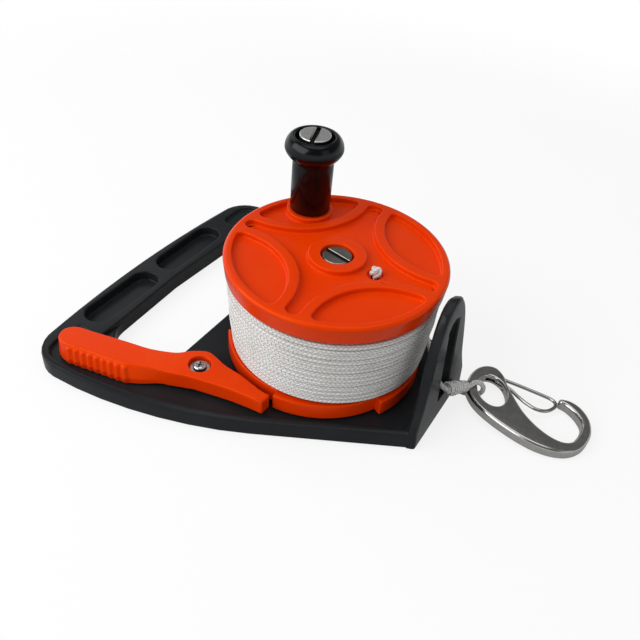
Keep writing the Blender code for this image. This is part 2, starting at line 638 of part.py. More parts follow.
def build_frame(root, plastic):
    """The black moulding: plate, bar, guide wall, bosses and every hole in it."""
    body = rounded_prism(frame_outline(), 0.0, FRAME_HEIGHT, EDGE_ROUND, EDGE_ROUND / 2)
    frame = add_mesh("frame", body, root, plastic)

    recess = stack([(floor_outline(), FLOOR_LEVEL), (floor_outline(), FRAME_HEIGHT + CUT_OVERRUN)])
    recess_tool = add_mesh("floor_cutter", recess, root)
    boss = disc(LEVER_BOSS_RADIUS, FLOOR_LEVEL - CUT_OVERRUN, FRAME_HEIGHT, SMALL_SEGMENTS)
    boss_tool = add_mesh("lever_boss_keeper", boss, root, location=(PIVOT_X, PIVOT_Y, 0.0))
    apply_boolean(recess_tool, boss_tool)
    apply_boolean(frame, recess_tool)

    wall = add_mesh("guide_wall", upright(guide_wall_outline(), -GUIDE_THICKNESS, 0.0,
                                          GUIDE_EDGE_ROUND), root)
    wall.location = (FRONT_REACH, 0.0, 0.0)
    wall.rotation_euler = (0.0, -GUIDE_LEAN, 0.0)
    apply_boolean(frame, wall, "UNION")

    hole = hand_hole_outline()
    cutters = [("hand_hole_cutter",
                stack([(hole, -CUT_OVERRUN), (hole, FRAME_HEIGHT + CUT_OVERRUN)]))]
    for side in (-1, 1):
        shift = BAR_POCKET_SHIFT + side * (BAR_POCKET_LENGTH + BAR_POCKET_WEB) / 2
        outline = pocket_outline(shift)
        cutters.append(("bar_pocket_cutter", stack(
            [(outline, FRAME_HEIGHT - BAR_POCKET_DEPTH),
             (outline, FRAME_HEIGHT + CUT_OVERRUN)])))
    for index in range(UNDERSIDE_POCKETS):
        outline = underside_outline(index)
        cutters.append(("underside_cutter", stack(
            [(outline, -CUT_OVERRUN), (outline, UNDERSIDE_DEPTH)])))
    cutters.append(("axle_cutter", disc(AXLE_SHANK_RADIUS + SHAFT_FIT, -CUT_OVERRUN,
                                        FRAME_HEIGHT, SMALL_SEGMENTS)))
    cutters.append(("axle_nut_cutter", disc(
        AXLE_NUT_CORNER_RADIUS + GAP, -CUT_OVERRUN, AXLE_NUT_INSET + AXLE_NUT_HEIGHT + GAP,
        HEX_SIDES)))
    slot = fillet([(-SLOT_HALF_WIDTH, SLOT_FOOT, 0.0), (SLOT_HALF_WIDTH, SLOT_FOOT, 0.0),
                   (SLOT_HALF_WIDTH, SLOT_TOP, SLOT_CORNER_RADIUS),
                   (-SLOT_HALF_WIDTH, SLOT_TOP, SLOT_CORNER_RADIUS)], ARC_STEPS // 2)
    depth = GUIDE_THICKNESS + GUIDE_HEIGHT * math.sin(GUIDE_LEAN) + CUT_OVERRUN
    cutters.append(("slot_cutter", moved(upright(slot, -depth, CUT_OVERRUN),
                                         (FRONT_REACH, 0.0, 0.0))))
    screw = disc(LEVER_SCREW_RADIUS + SHAFT_FIT, FRAME_HEIGHT - LEVER_SCREW_DEPTH - GAP,
                 FRAME_HEIGHT + CUT_OVERRUN, SMALL_SEGMENTS)
    cutters.append(("lever_screw_cutter", moved(screw, (PIVOT_X, PIVOT_Y, 0.0))))
    for name, shape in cutters:
        apply_boolean(frame, add_mesh(name, shape, root))
    return frame


def slotted_screw(name, parent, material, head_radius, head_bottom, head_height,
                  shank_radius, shank_end, slot_turn):
    """A cheese-head screw with a straight slot, as one solid."""
    top = head_bottom + head_height
    ease = SCREW_SLOT_DEPTH / 4
    profile = [(0.0, shank_end), (shank_radius, shank_end), (shank_radius, head_bottom),
               (head_radius, head_bottom), (head_radius, top - ease),
               (head_radius - ease, top), (0.0, top)]
    screw = add_mesh(name, turned(profile, SMALL_SEGMENTS), parent, material)
    slot = box((2 * head_radius + CUT_OVERRUN, SCREW_SLOT_WIDTH, 2 * SCREW_SLOT_DEPTH),
               (0.0, 0.0, top), slot_turn)
    apply_boolean(screw, add_mesh(name + "_slot", slot, parent))
    return screw


def build_axle(axle, steel):
    """Bolt, sleeve, washers and nut that hold the spool to the frame."""
    bore = AXLE_SHANK_RADIUS + SHAFT_FIT
    slotted_screw("axle_bolt", axle, steel, AXLE_HEAD_RADIUS, AXLE_HEAD_BOTTOM,
                  AXLE_HEAD_HEIGHT, AXLE_SHANK_RADIUS, AXLE_NUT_INSET + GAP,
                  AXLE_SLOT_ANGLE)
    add_mesh("axle_sleeve", ring(bore, SLEEVE_RADIUS, FLOOR_LEVEL + GAP,
                                 UPPER_WASHER_BOTTOM - GAP, SMALL_SEGMENTS), axle, steel)
    add_mesh("axle_washer_upper", ring(bore, UPPER_WASHER_RADIUS, UPPER_WASHER_BOTTOM,
                                       UPPER_WASHER_BOTTOM + UPPER_WASHER_THICKNESS,
                                       SMALL_SEGMENTS), axle, steel)
    add_mesh("axle_washer_lower", ring(HUB_BORE, LOWER_WASHER_RADIUS, FLOOR_LEVEL + GAP,
                                       FLOOR_LEVEL + GAP + LOWER_WASHER_THICKNESS,
                                       SMALL_SEGMENTS), axle, steel)
    nut_tool = disc(bore, -CUT_OVERRUN, FRAME_HEIGHT, SMALL_SEGMENTS)
    nut = add_mesh("axle_nut", disc(AXLE_NUT_CORNER_RADIUS, AXLE_NUT_INSET,
                                    AXLE_NUT_INSET + AXLE_NUT_HEIGHT, HEX_SIDES),
                   axle, steel)
    apply_boolean(nut, add_mesh("axle_nut_bore", nut_tool, axle))


def ratchet_outline():
    """Saw teeth: a radial step at each tooth's start, then an even fall to its end."""
    points = []
    pitch = 2 * math.pi / RATCHET_TEETH
    root_radius = RATCHET_TIP_RADIUS - RATCHET_TOOTH_DEPTH
    for tooth in range(RATCHET_TEETH):
        start = RATCHET_PHASE + tooth * pitch
        for step in range(ARC_STEPS + 1):
            share = step / ARC_STEPS
            radius = RATCHET_TIP_RADIUS - RATCHET_TOOTH_DEPTH * share
            points.append(polar(radius, start + pitch * share))
        points[-1] = polar(root_radius, start + pitch)
    return points


def leaf_outline(angle):
    """Leaf pocket between the rim and an arc centred far out on its axis."""
    outer = FLANGE_RADIUS - FACE_RIM
    lean = math.acos((outer ** 2 + LEAF_CENTRE_RADIUS ** 2 - LEAF_RADIUS ** 2)
                     / (2 * outer * LEAF_CENTRE_RADIUS))
    tip = polar(outer, lean)
    spread = math.atan2(tip[1], LEAF_CENTRE_RADIUS - tip[0])
    soft = LEAF_TIP_RADIUS / outer
    rim = arc((0.0, 0.0), outer, angle - lean + soft, angle + lean - soft, ARC_STEPS + 1)
    centre = polar(LEAF_CENTRE_RADIUS, angle)
    inner = arc(centre, LEAF_RADIUS, angle + math.pi - spread + soft,
                angle + math.pi + spread - soft, LEAF_STEPS)
    return rim + inner


def star_outline():
    """Star recess: four arms between the ridges, ended by the rim."""
    outer = FLANGE_RADIUS - FACE_RIM
    radius = LEAF_RADIUS + RIDGE_WIDTH
    lean = math.acos((outer ** 2 + LEAF_CENTRE_RADIUS ** 2 - radius ** 2)
                     / (2 * outer * LEAF_CENTRE_RADIUS))
    tip = polar(outer, lean)
    spread = math.atan2(tip[1], LEAF_CENTRE_RADIUS - tip[0])
    pitch = 2 * math.pi / FACE_ARMS
    points = []
    for arm in range(FACE_ARMS):
        leaf_angle = FACE_ANGLE + (arm + 0.5) * pitch
        points += arc(polar(LEAF_CENTRE_RADIUS, leaf_angle), radius,
                      leaf_angle + math.pi + spread, leaf_angle + math.pi - spread,
                      2 * ARC_STEPS)
        points.append(polar(outer, leaf_angle + pitch / 2))
    return points


def build_spool(spool, orange, steel):
    """Top flange with its star and leaf pockets, drum, and toothed lower flange."""
    rim = FLANGE_EDGE_ROUND
    low = FLANGE_RADIUS - FLANGE_TAPER
    hub = HUB_BORE + HUB_WALL
    hub_foot = RATCHET_TOP + GAP
    profile = [(HUB_BORE, hub_foot), (hub, hub_foot), (hub, FLANGE_BOTTOM),
               (low - rim / 2, FLANGE_BOTTOM), (low, FLANGE_BOTTOM + rim / 2),
               (FLANGE_RADIUS, FLANGE_TOP - rim),
               (FLANGE_RADIUS - rim * (1 - math.sqrt(0.5)),
                FLANGE_TOP - rim * (1 - math.sqrt(0.5))),
               (FLANGE_RADIUS - rim, FLANGE_TOP),
               (BOSS_RECESS_RADIUS, FLANGE_TOP), (BOSS_RECESS_RADIUS, BOSS_FLOOR),
               (HUB_BORE, BOSS_FLOOR)]
    flange = add_mesh("spool_flange", turned(profile, LARGE_SEGMENTS), spool, orange)
    floor = FLANGE_TOP - FACE_DEPTH
    above = FLANGE_TOP + CUT_OVERRUN
    pockets = add_mesh("star_cutter", stack([(star_outline(), floor), (star_outline(), above)]),
                       spool)
    boss = disc(BOSS_RADIUS, floor - CUT_OVERRUN, above + CUT_OVERRUN, MEDIUM_SEGMENTS)
    apply_boolean(pockets, add_mesh("boss_keeper", boss, spool))
    apply_boolean(flange, pockets)
    knob_place = (*polar(KNOB_ORBIT_RADIUS, KNOB_ANGLE), 0.0)
    for arm in range(FACE_ARMS):
        angle = FACE_ANGLE + (arm + 0.5) * 2 * math.pi / FACE_ARMS
        outline = leaf_outline(angle)
        leaf = add_mesh("leaf_cutter", stack([(outline, floor), (outline, above)]), spool)
        if math.isclose(angle, KNOB_ANGLE):
            keeper = disc(KNOB_BOSS_RADIUS, floor - CUT_OVERRUN, above + CUT_OVERRUN,
                          MEDIUM_SEGMENTS)
            apply_boolean(leaf, add_mesh("knob_boss_keeper", moved(keeper, knob_place), spool))
        apply_boolean(flange, leaf)

    knot_place = (*polar(KNOT_ORBIT_RADIUS, 0.0), 0.0)
    cutters = [
        ("knot_hole_cutter", moved(disc(KNOT_HOLE_RADIUS, FLANGE_BOTTOM - CUT_OVERRUN, above,
                                        SMALL_SEGMENTS), knot_place)),
        ("knot_seat_cutter", moved(disc(KNOT_SEAT_RADIUS, floor - KNOT_SEAT_DEPTH, above,
                                        SMALL_SEGMENTS), knot_place)),
        ("knob_bore_cutter", moved(disc(KNOB_SHANK_RADIUS + SHAFT_FIT,
                                        FLANGE_BOTTOM - CUT_OVERRUN, above,
                                        SMALL_SEGMENTS), knob_place)),
        ("knob_nut_cutter", moved(disc(KNOB_NUT_CORNER_RADIUS + GAP,
                                       FLANGE_BOTTOM - CUT_OVERRUN,
                                       FLANGE_BOTTOM + KNOB_NUT_HEIGHT + 2 * GAP,
                                       HEX_SIDES), knob_place))]
    for name, shape in cutters:
        apply_boolean(flange, add_mesh(name, shape, spool))

    add_mesh("spool_drum", ring(DRUM_RADIUS - DRUM_WALL, DRUM_RADIUS, RATCHET_TOP + GAP,
                                FLANGE_BOTTOM - GAP, MEDIUM_SEGMENTS), spool, orange)

    body = rounded_prism(ratchet_outline(), RATCHET_BOTTOM, RATCHET_TOP, RATCHET_EDGE_ROUND)
    ratchet = add_mesh("ratchet_flange", body, spool, orange)
    bore = disc(HUB_BORE, RATCHET_BOTTOM - CUT_OVERRUN, RATCHET_TOP + CUT_OVERRUN,
                SMALL_SEGMENTS)
    apply_boolean(ratchet, add_mesh("ratchet_bore_cutter", bore, spool))
    core = ring(DRUM_RADIUS, RATCHET_CORE_OUTER, RATCHET_BOTTOM - CUT_OVERRUN,
                RATCHET_BOTTOM + RATCHET_CORE_DEPTH, MEDIUM_SEGMENTS)
    apply_boolean(ratchet, add_mesh("ratchet_core_cutter", core, spool))


def winding_route():
    """Outer layer of line: bend out of the core, even loops, bend back in."""
    top = FLANGE_BOTTOM - GAP - LINE_DIAMETER / 2
    bend = WINDING_BEND_RADIUS
    inner = WINDING_RADIUS - bend
    points = []

    def place(angle, radial, along, height):
        """Turn a radial and tangential offset at an angle into a point."""
        x = radial * math.cos(angle) - along * math.sin(angle)
        y = radial * math.sin(angle) + along * math.cos(angle)
        points.append((x, y, height))

    place(WINDING_END_ANGLE, inner - LINE_DIAMETER, -bend, top)
    for step in range(WINDING_BEND_STEPS):
        turn = math.pi / 2 * (1 - step / WINDING_BEND_STEPS)
        place(WINDING_END_ANGLE, inner + bend * math.cos(turn), -bend * math.sin(turn), top)
    count = LINE_LOOPS * LINE_POINTS_PER_LOOP
    for index in range(count + 1):
        turns = index / LINE_POINTS_PER_LOOP
        place(WINDING_END_ANGLE + 2 * math.pi * turns, WINDING_RADIUS, 0.0,
              top - LINE_PITCH * turns)
    bottom = top - LINE_PITCH * LINE_LOOPS
    for step in range(1, WINDING_BEND_STEPS + 1):
        turn = math.pi / 2 * step / WINDING_BEND_STEPS
        place(WINDING_END_ANGLE, inner + bend * math.cos(turn), bend * math.sin(turn), bottom)
    place(WINDING_END_ANGLE, inner - LINE_DIAMETER, bend, bottom)
    return points


def least_gap(points, diameter):
    """Least gap of a winding to itself, measured on points half a loop apart or more."""
    half = LINE_POINTS_PER_LOOP // 2
    rows = [Vector(point) for point in points]
    least = math.inf
    for index, here in enumerate(rows):
        for other in rows[index + half:]:
            least = min(least, (other - here).length)
    return least - diameter


def build_line(spool, line):
    """Wound line: a plain core, the outer layer, and the knot at its inner end."""
    low = RATCHET_TOP + GAP
    high = FLANGE_BOTTOM - GAP
    core = add_mesh("line_core", ring(DRUM_RADIUS + GAP, CORE_RADIUS, low, high,
                                      LARGE_SEGMENTS), spool, line)
    route = winding_route()
    print("Least gap of the winding to itself:",
          round(least_gap(route, LINE_DIAMETER) * 1000, 3), "mm")
    side = WINDING_BEND_RADIUS + LINE_DIAMETER / 2 + GAP
    near = WINDING_BEND_RADIUS * NOTCH_NEAR_SHARE
    depth = WINDING_BEND_RADIUS + LINE_DIAMETER + GAP
    reach = depth + CUT_OVERRUN
    height = 2 * LINE_DIAMETER + 4 * GAP
    for edge, sign in ((high, -1), (low, 1)):
        size = (reach, side - near, height)
        centre = (WINDING_RADIUS - depth + reach / 2, sign * (side + near) / 2, edge)
        notch = box(size, centre, WINDING_END_ANGLE)
        apply_boolean(core, add_mesh("winding_end_cutter", notch, spool))
    add_tube("line_winding", route, LINE_DIAMETER / 2, spool, line, WIRE_RESOLUTION)

    base = FLANGE_TOP - FACE_DEPTH - KNOT_SEAT_DEPTH + GAP
    profile = [(0.0, high + GAP), (KNOT_NECK_RADIUS, high + GAP), (KNOT_NECK_RADIUS, base)]
    for step in range(1, KNOT_STEPS):
        turn = math.pi * (step / KNOT_STEPS - 0.5)
        profile.append((KNOT_RADIUS * math.cos(turn), base + KNOT_RADIUS
                        + KNOT_RADIUS * math.sin(turn)))
    profile.append((0.0, base + 2 * KNOT_RADIUS))
    add_mesh("line_end_knot", turned(profile, SMALL_SEGMENTS), spool, line,
             (*polar(KNOT_ORBIT_RADIUS, 0.0), 0.0))


def build_knob(spool, knob, plastic, steel):
    """Turning grip on a sleeve, its screw and washer, and the nut in the flange."""
    neck = KNOB_BASE + KNOB_NECK_HEIGHT
    wide = KNOB_BASE + KNOB_HEAD_LEVEL
    bore = KNOB_SLEEVE_RADIUS + SHAFT_FIT
    rise = wide - neck
    profile = [(bore, KNOB_BASE), (KNOB_BASE_RADIUS, KNOB_BASE), (KNOB_NECK_RADIUS, neck)]
    flare = KNOB_HEAD_RADIUS - KNOB_NECK_RADIUS
    for share_out, share_up in KNOB_FLARE_SHARES:
        profile.append((KNOB_NECK_RADIUS + flare * share_out, neck + rise * share_up))
    profile.append((KNOB_HEAD_RADIUS, wide))
    lip = KNOB_HEAD_RADIUS - KNOB_LIP_RADIUS
    for share_in, share_up in KNOB_CROWN_SHARES:
        profile.append((KNOB_HEAD_RADIUS - lip * share_in,
                        wide + (KNOB_TOP - wide) * share_up))
    profile += [(KNOB_RECESS_RADIUS, KNOB_TOP), (KNOB_RECESS_RADIUS, KNOB_RECESS_FLOOR),
                (bore, KNOB_RECESS_FLOOR)]
    add_mesh("knob_grip", turned(profile, MEDIUM_SEGMENTS), knob, plastic)

    shank_bore = KNOB_SHANK_RADIUS + SHAFT_FIT
    place = (*polar(KNOB_ORBIT_RADIUS, KNOB_ANGLE), 0.0)
    fixed = make_empty("knob_fixings", place, spool)
    sleeve_top = KNOB_RECESS_FLOOR + GAP
    add_mesh("knob_sleeve", ring(shank_bore, KNOB_SLEEVE_RADIUS, KNOB_BASE, sleeve_top,
                                 SMALL_SEGMENTS), fixed, steel)
    washer = sleeve_top + GAP
    add_mesh("knob_washer", ring(shank_bore, KNOB_WASHER_RADIUS, washer,
                                 washer + KNOB_WASHER_THICKNESS, SMALL_SEGMENTS),
             fixed, steel)
    nut_bottom = FLANGE_BOTTOM + GAP
    slotted_screw("knob_screw", fixed, steel, KNOB_HEAD_SCREW_RADIUS,
                  washer + KNOB_WASHER_THICKNESS + GAP, KNOB_HEAD_SCREW_HEIGHT,
                  KNOB_SHANK_RADIUS, nut_bottom + GAP, KNOB_SLOT_ANGLE)
    nut = add_mesh("knob_nut", disc(KNOB_NUT_CORNER_RADIUS, nut_bottom,
                                    nut_bottom + KNOB_NUT_HEIGHT, HEX_SIDES), fixed, steel)
    nut_bore = disc(shank_bore, nut_bottom - CUT_OVERRUN,
                    nut_bottom + KNOB_NUT_HEIGHT + CUT_OVERRUN, SMALL_SEGMENTS)
    apply_boolean(nut, add_mesh("knob_nut_bore", nut_bore, fixed))


def lever_levels():
    """Outlines of the lever from its underside to its top, ribs standing on the pad."""
    tip_radius = RATCHET_TIP_RADIUS + LEVER_TIP_CLEARANCE
    start, end = LEVER_TIP_ANGLES
    tip = [(x - PIVOT_X, y - PIVOT_Y, 0.0)
           for x, y in arc((0.0, 0.0), tip_radius, start, end, LEVER_TIP_STEPS)]

    def sized(rows):
        """Scale a table of shares to the lever's length."""
        return [tuple(LEVER_LENGTH * share for share in row) for row in rows]

    inner = spline(sized(LEVER_INNER_SHARES), 2)
    outer = spline(sized(LEVER_OUTER_SHARES), 2)
    first, last = (Vector(row) for row in sized(LEVER_PAD_SHARES))
    pad = []
    quarters = PAD_RIBS * 4
    for quarter in range(quarters + 1):
        point = first.lerp(last, quarter / quarters)
        pad.append((*point, quarter % 4 in (1, 2)))
    rows = [(*row, False) for row in tip + inner] + pad + [(*row, False) for row in outer]
    plan = [row[:2] for row in rows]
    outward = normals(plan)

    def level(flare_share, rib_depth):
        """Return the outline moved outwards by a share of its flare."""
        return [(x + n.x * (flare * flare_share + rib_depth * rib),
                 y + n.y * (flare * flare_share + rib_depth * rib))
                for (x, y, flare, rib), n in zip(rows, outward)]

    rib_top = LEVER_BOTTOM + LEVER_THICKNESS * RIB_TOP_SHARE
    shoulder = LEVER_TOP - LEVER_EDGE_ROUND
    rib_flare = 1 - RIB_TOP_SHARE
    return [(level(1.0, PAD_RIB_DEPTH), LEVER_BOTTOM),
            (level(rib_flare, PAD_RIB_DEPTH), rib_top),
            (level(SHOULDER_FLARE_SHARE, 0.0), shoulder),
            (grow(level(0.0, 0.0), -LEVER_EDGE_ROUND), LEVER_TOP)]


def build_lever(root, pivot, orange, steel):
    """Lock lever with its ribbed pad, and the screw, washer, bush and spring it turns on."""
    lever = add_mesh("lever", stack(lever_levels()), pivot, orange)
    bore = disc(LEVER_BUSH_RADIUS + SHAFT_FIT, LEVER_BOTTOM - CUT_OVERRUN,
                LEVER_TOP + CUT_OVERRUN, SMALL_SEGMENTS)
    recess = disc(LEVER_SCREW_RECESS_RADIUS, LEVER_RECESS_FLOOR, LEVER_TOP + CUT_OVERRUN,
                  MEDIUM_SEGMENTS)
    pocket = disc(SPRING_POCKET_RADIUS, LEVER_BOTTOM - CUT_OVERRUN,
                  LEVER_BOTTOM + SPRING_POCKET_DEPTH, SMALL_SEGMENTS)
    for name, shape in (("lever_bore", bore), ("lever_recess", recess),
                        ("spring_pocket", pocket)):
        apply_boolean(lever, add_mesh(name, shape, pivot))

    fixed = make_empty("lever_fixings", (PIVOT_X, PIVOT_Y, 0.0), root)
    foot = FRAME_HEIGHT + GAP
    bush_top = LEVER_RECESS_FLOOR + GAP
    add_mesh("lever_bush", ring(LEVER_BUSH_BORE, LEVER_BUSH_RADIUS, foot, bush_top,
                                SMALL_SEGMENTS), fixed, steel)
    washer = bush_top + GAP
    add_mesh("lever_washer", ring(LEVER_BUSH_BORE, LEVER_WASHER_RADIUS, washer,
                                  washer + LEVER_WASHER_THICKNESS, SMALL_SEGMENTS),
             fixed, steel)
    head = washer + LEVER_WASHER_THICKNESS + GAP
    top = head + LEVER_SCREW_HEAD_HEIGHT
    dome = LEVER_SCREW_HEAD_HEIGHT / 2
    profile = [(0.0, FRAME_HEIGHT - LEVER_SCREW_DEPTH),
               (LEVER_SCREW_RADIUS, FRAME_HEIGHT - LEVER_SCREW_DEPTH),
               (LEVER_SCREW_RADIUS, head), (LEVER_SCREW_HEAD_RADIUS, head),
               (LEVER_SCREW_HEAD_RADIUS, top - dome),
               (LEVER_SCREW_HEAD_RADIUS - dome / 2, top - dome / 4), (0.0, top)]
    add_mesh("lever_screw", turned(profile, SMALL_SEGMENTS), fixed, steel)

    coil = []
    base = foot + SPRING_WIRE / 2
    count = SPRING_TURNS * SPRING_POINTS_PER_TURN
    for index in range(count + 1):
        turns = index / SPRING_POINTS_PER_TURN
        x, y = polar(SPRING_RADIUS, 2 * math.pi * turns)
        coil.append((x, y, base + SPRING_PITCH * turns))
    coil.append((SPRING_RADIUS, 2 * SPRING_WIRE, coil[-1][2]))
    coil.insert(0, (SPRING_RADIUS, -2 * SPRING_WIRE, base))
    add_tube("lever_spring", coil, SPRING_WIRE / 2, fixed, steel, WIRE_RESOLUTION)


def ellipse(long_radius, short_radius, turn, steps):
    """Return a counter-clockwise ellipse about the origin."""
    axis = Matrix.Rotation(turn, 2)
    points = []
    for step in range(steps):
        angle = 2 * math.pi * step / steps
        point = axis @ Vector((long_radius * math.cos(angle), short_radius * math.sin(angle)))
        points.append(tuple(point))
    return points


def build_snap(snap, steel):
    """Snap hook lying on the ground, its eye propped up by the line tied through it."""
    plan = [(SNAP_LENGTH * x, SNAP_LENGTH * y) for x, y in SNAP_OUTLINE_SHARES]
    outline = spline(plan, 2, closed=True)
    body = add_mesh("snap_body", rounded_prism(outline, 0.0, SNAP_THICKNESS, SNAP_EDGE_ROUND,
                                               SNAP_EDGE_ROUND), snap, steel)
    eye = ellipse(SNAP_EYE_LONG_RADIUS, SNAP_EYE_SHORT_RADIUS, SNAP_EYE_TURN,
                  MEDIUM_SEGMENTS)
    apply_boolean(body, add_mesh("snap_eye_cutter", stack(
        [(eye, -CUT_OVERRUN), (eye, SNAP_THICKNESS + CUT_OVERRUN)]), snap))
    seat = disc(GATE_PIN_RADIUS + SHAFT_FIT, -CUT_OVERRUN, SNAP_THICKNESS + CUT_OVERRUN,
                SMALL_SEGMENTS)
    apply_boolean(body, add_mesh("gate_seat_cutter", moved(
        seat, (GATE_PIVOT_X, GATE_PIVOT_Y, 0.0)), snap))
    slot_height = GATE_WIRE + 2 * GAP
    slot = disc(GATE_SLOT_RADIUS, (SNAP_THICKNESS - slot_height) / 2,
                (SNAP_THICKNESS + slot_height) / 2, MEDIUM_SEGMENTS)
    apply_boolean(body, add_mesh("gate_slot_cutter", moved(
        slot, (GATE_PIVOT_X, GATE_PIVOT_Y, 0.0)), snap))
    pin = disc(GATE_PIN_RADIUS, 0.0, SNAP_THICKNESS, SMALL_SEGMENTS)
    add_mesh("gate_pin", moved(pin, (GATE_PIVOT_X, GATE_PIVOT_Y, 0.0)), snap, steel)


def build_gate(gate, steel):
    """Closed wire loop that hooks round its pin and shuts against the hook's nose."""
    hook = GATE_PIN_RADIUS + SHAFT_FIT + GATE_WIRE / 2
    legs = [(GATE_LENGTH * x, GATE_LENGTH * y) for x, y in GATE_ROUTE_SHARES]
    turn = arc((0.0, 0.0), hook, math.pi / 2, 1.5 * math.pi, HOOK_STEPS)
    route = spline(legs + turn, 2, closed=True)
    points = [(x, y, 0.0) for x, y in route]
    loop = add_tube("snap_gate", points, GATE_WIRE / 2, gate, steel, CORD_RESOLUTION)
    loop.data.splines[0].use_cyclic_u = True


def build_lead(root, line):
    """Line from the drum through the slot, its whipping, and the loop round the eye."""
    radius = LINE_DIAMETER / 2
    leave = WINDING_RADIUS + LINE_DIAMETER + GAP
    start = (*polar(leave, LEAD_TANGENT_ANGLE), LEAD_HEIGHT)
    add_tube("line_lead", spline((start, *LEAD_ROUTE), ROUTE_STEPS), radius, root, line,
             CORD_RESOLUTION)
    add_tube("line_whipping", WHIPPING_ENDS, WHIPPING_RADIUS, root, line, CORD_RESOLUTION)
    add_tube("line_eye_loop", spline(EYE_LOOP_ROUTE, ROUTE_STEPS - 1), radius, root, line,
             CORD_RESOLUTION)


def main():
    """Model every piece of the reel."""
    clear_scene()
    black, orange, gloss, steel, dark_steel, braid = (
        make_material(*row) for row in FINISHES)

    root = make_empty("reel", (SPOOL_X, 0.0, 0.0))
    spool = make_empty("spool_axis", (0.0, 0.0, 0.0), root)
    knob = make_empty("knob_axis", (*polar(KNOB_ORBIT_RADIUS, KNOB_ANGLE), 0.0), spool)
    pivot = make_empty("lever_axis", (PIVOT_X, PIVOT_Y, 0.0), root)
    lift = SNAP_LENGTH * max(x for x, _ in SNAP_OUTLINE_SHARES) * math.sin(SNAP_TILT)
    snap = make_empty("snap", (SNAP_X, SNAP_Y, lift), root)
    snap.rotation_euler = (0.0, SNAP_TILT, 0.0)
    gate = make_empty("gate_axis", (GATE_PIVOT_X, GATE_PIVOT_Y, SNAP_THICKNESS / 2), snap)

    build_frame(root, black)
    build_axle(root, steel)
    build_spool(spool, orange, steel)
    build_line(spool, braid)
    build_knob(spool, knob, gloss, steel)
    build_lever(root, pivot, orange, steel)
    build_snap(snap, dark_steel)
    build_gate(gate, steel)
    build_lead(root, braid)
    bpy.context.view_layer.update()


main()
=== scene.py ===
"""Dressed scene of the dive reel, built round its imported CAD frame.

Lengths are metres in the frame's own axes: +X runs from the handle bar to the line
guide and +Z up along the spool's axle. Pieces of the spool are first modelled about
the axle and then moved onto it.
"""

import logging
import math
from collections.abc import Callable
from dataclasses import dataclass
from enum import Enum

import bmesh
import bpy
from mathutils import Matrix, Vector


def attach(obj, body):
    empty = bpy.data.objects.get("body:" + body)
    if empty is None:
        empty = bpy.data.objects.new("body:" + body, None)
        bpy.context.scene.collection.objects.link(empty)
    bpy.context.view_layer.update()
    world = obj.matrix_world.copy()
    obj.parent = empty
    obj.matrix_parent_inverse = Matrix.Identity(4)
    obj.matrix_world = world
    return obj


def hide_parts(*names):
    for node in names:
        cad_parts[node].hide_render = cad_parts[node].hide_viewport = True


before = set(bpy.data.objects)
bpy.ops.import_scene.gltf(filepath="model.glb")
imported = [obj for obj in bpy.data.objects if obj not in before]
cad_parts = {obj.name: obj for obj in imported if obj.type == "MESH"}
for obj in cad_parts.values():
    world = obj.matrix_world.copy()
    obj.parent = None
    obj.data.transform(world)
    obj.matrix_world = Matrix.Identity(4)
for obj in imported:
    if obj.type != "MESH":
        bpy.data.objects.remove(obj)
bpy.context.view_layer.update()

log = logging.getLogger("reel")

Point = tuple[float, float, float]
Pair = tuple[float, float]
Colour = tuple[float, float, float]

SPOOL_X = 0.0263
MM = 0.001


class Body(Enum):
    """The bodies of the frame that a piece can ride on."""

    FRAME = "frame"
    SPOOL = "spool"
    KNOB = "knob"
    LEVER = "lever"
    GATE = "gate"


class Slot(Enum):
    """The record's material slots."""

    BLACK = "black_plastic"
    GLOSS = "gloss_black"
    ORANGE = "orange_plastic"
    STEEL = "steel"
    DARK_STEEL = "dark_steel"
    BRAID = "braid"


# ---------------------------------------------------------------- shader maths


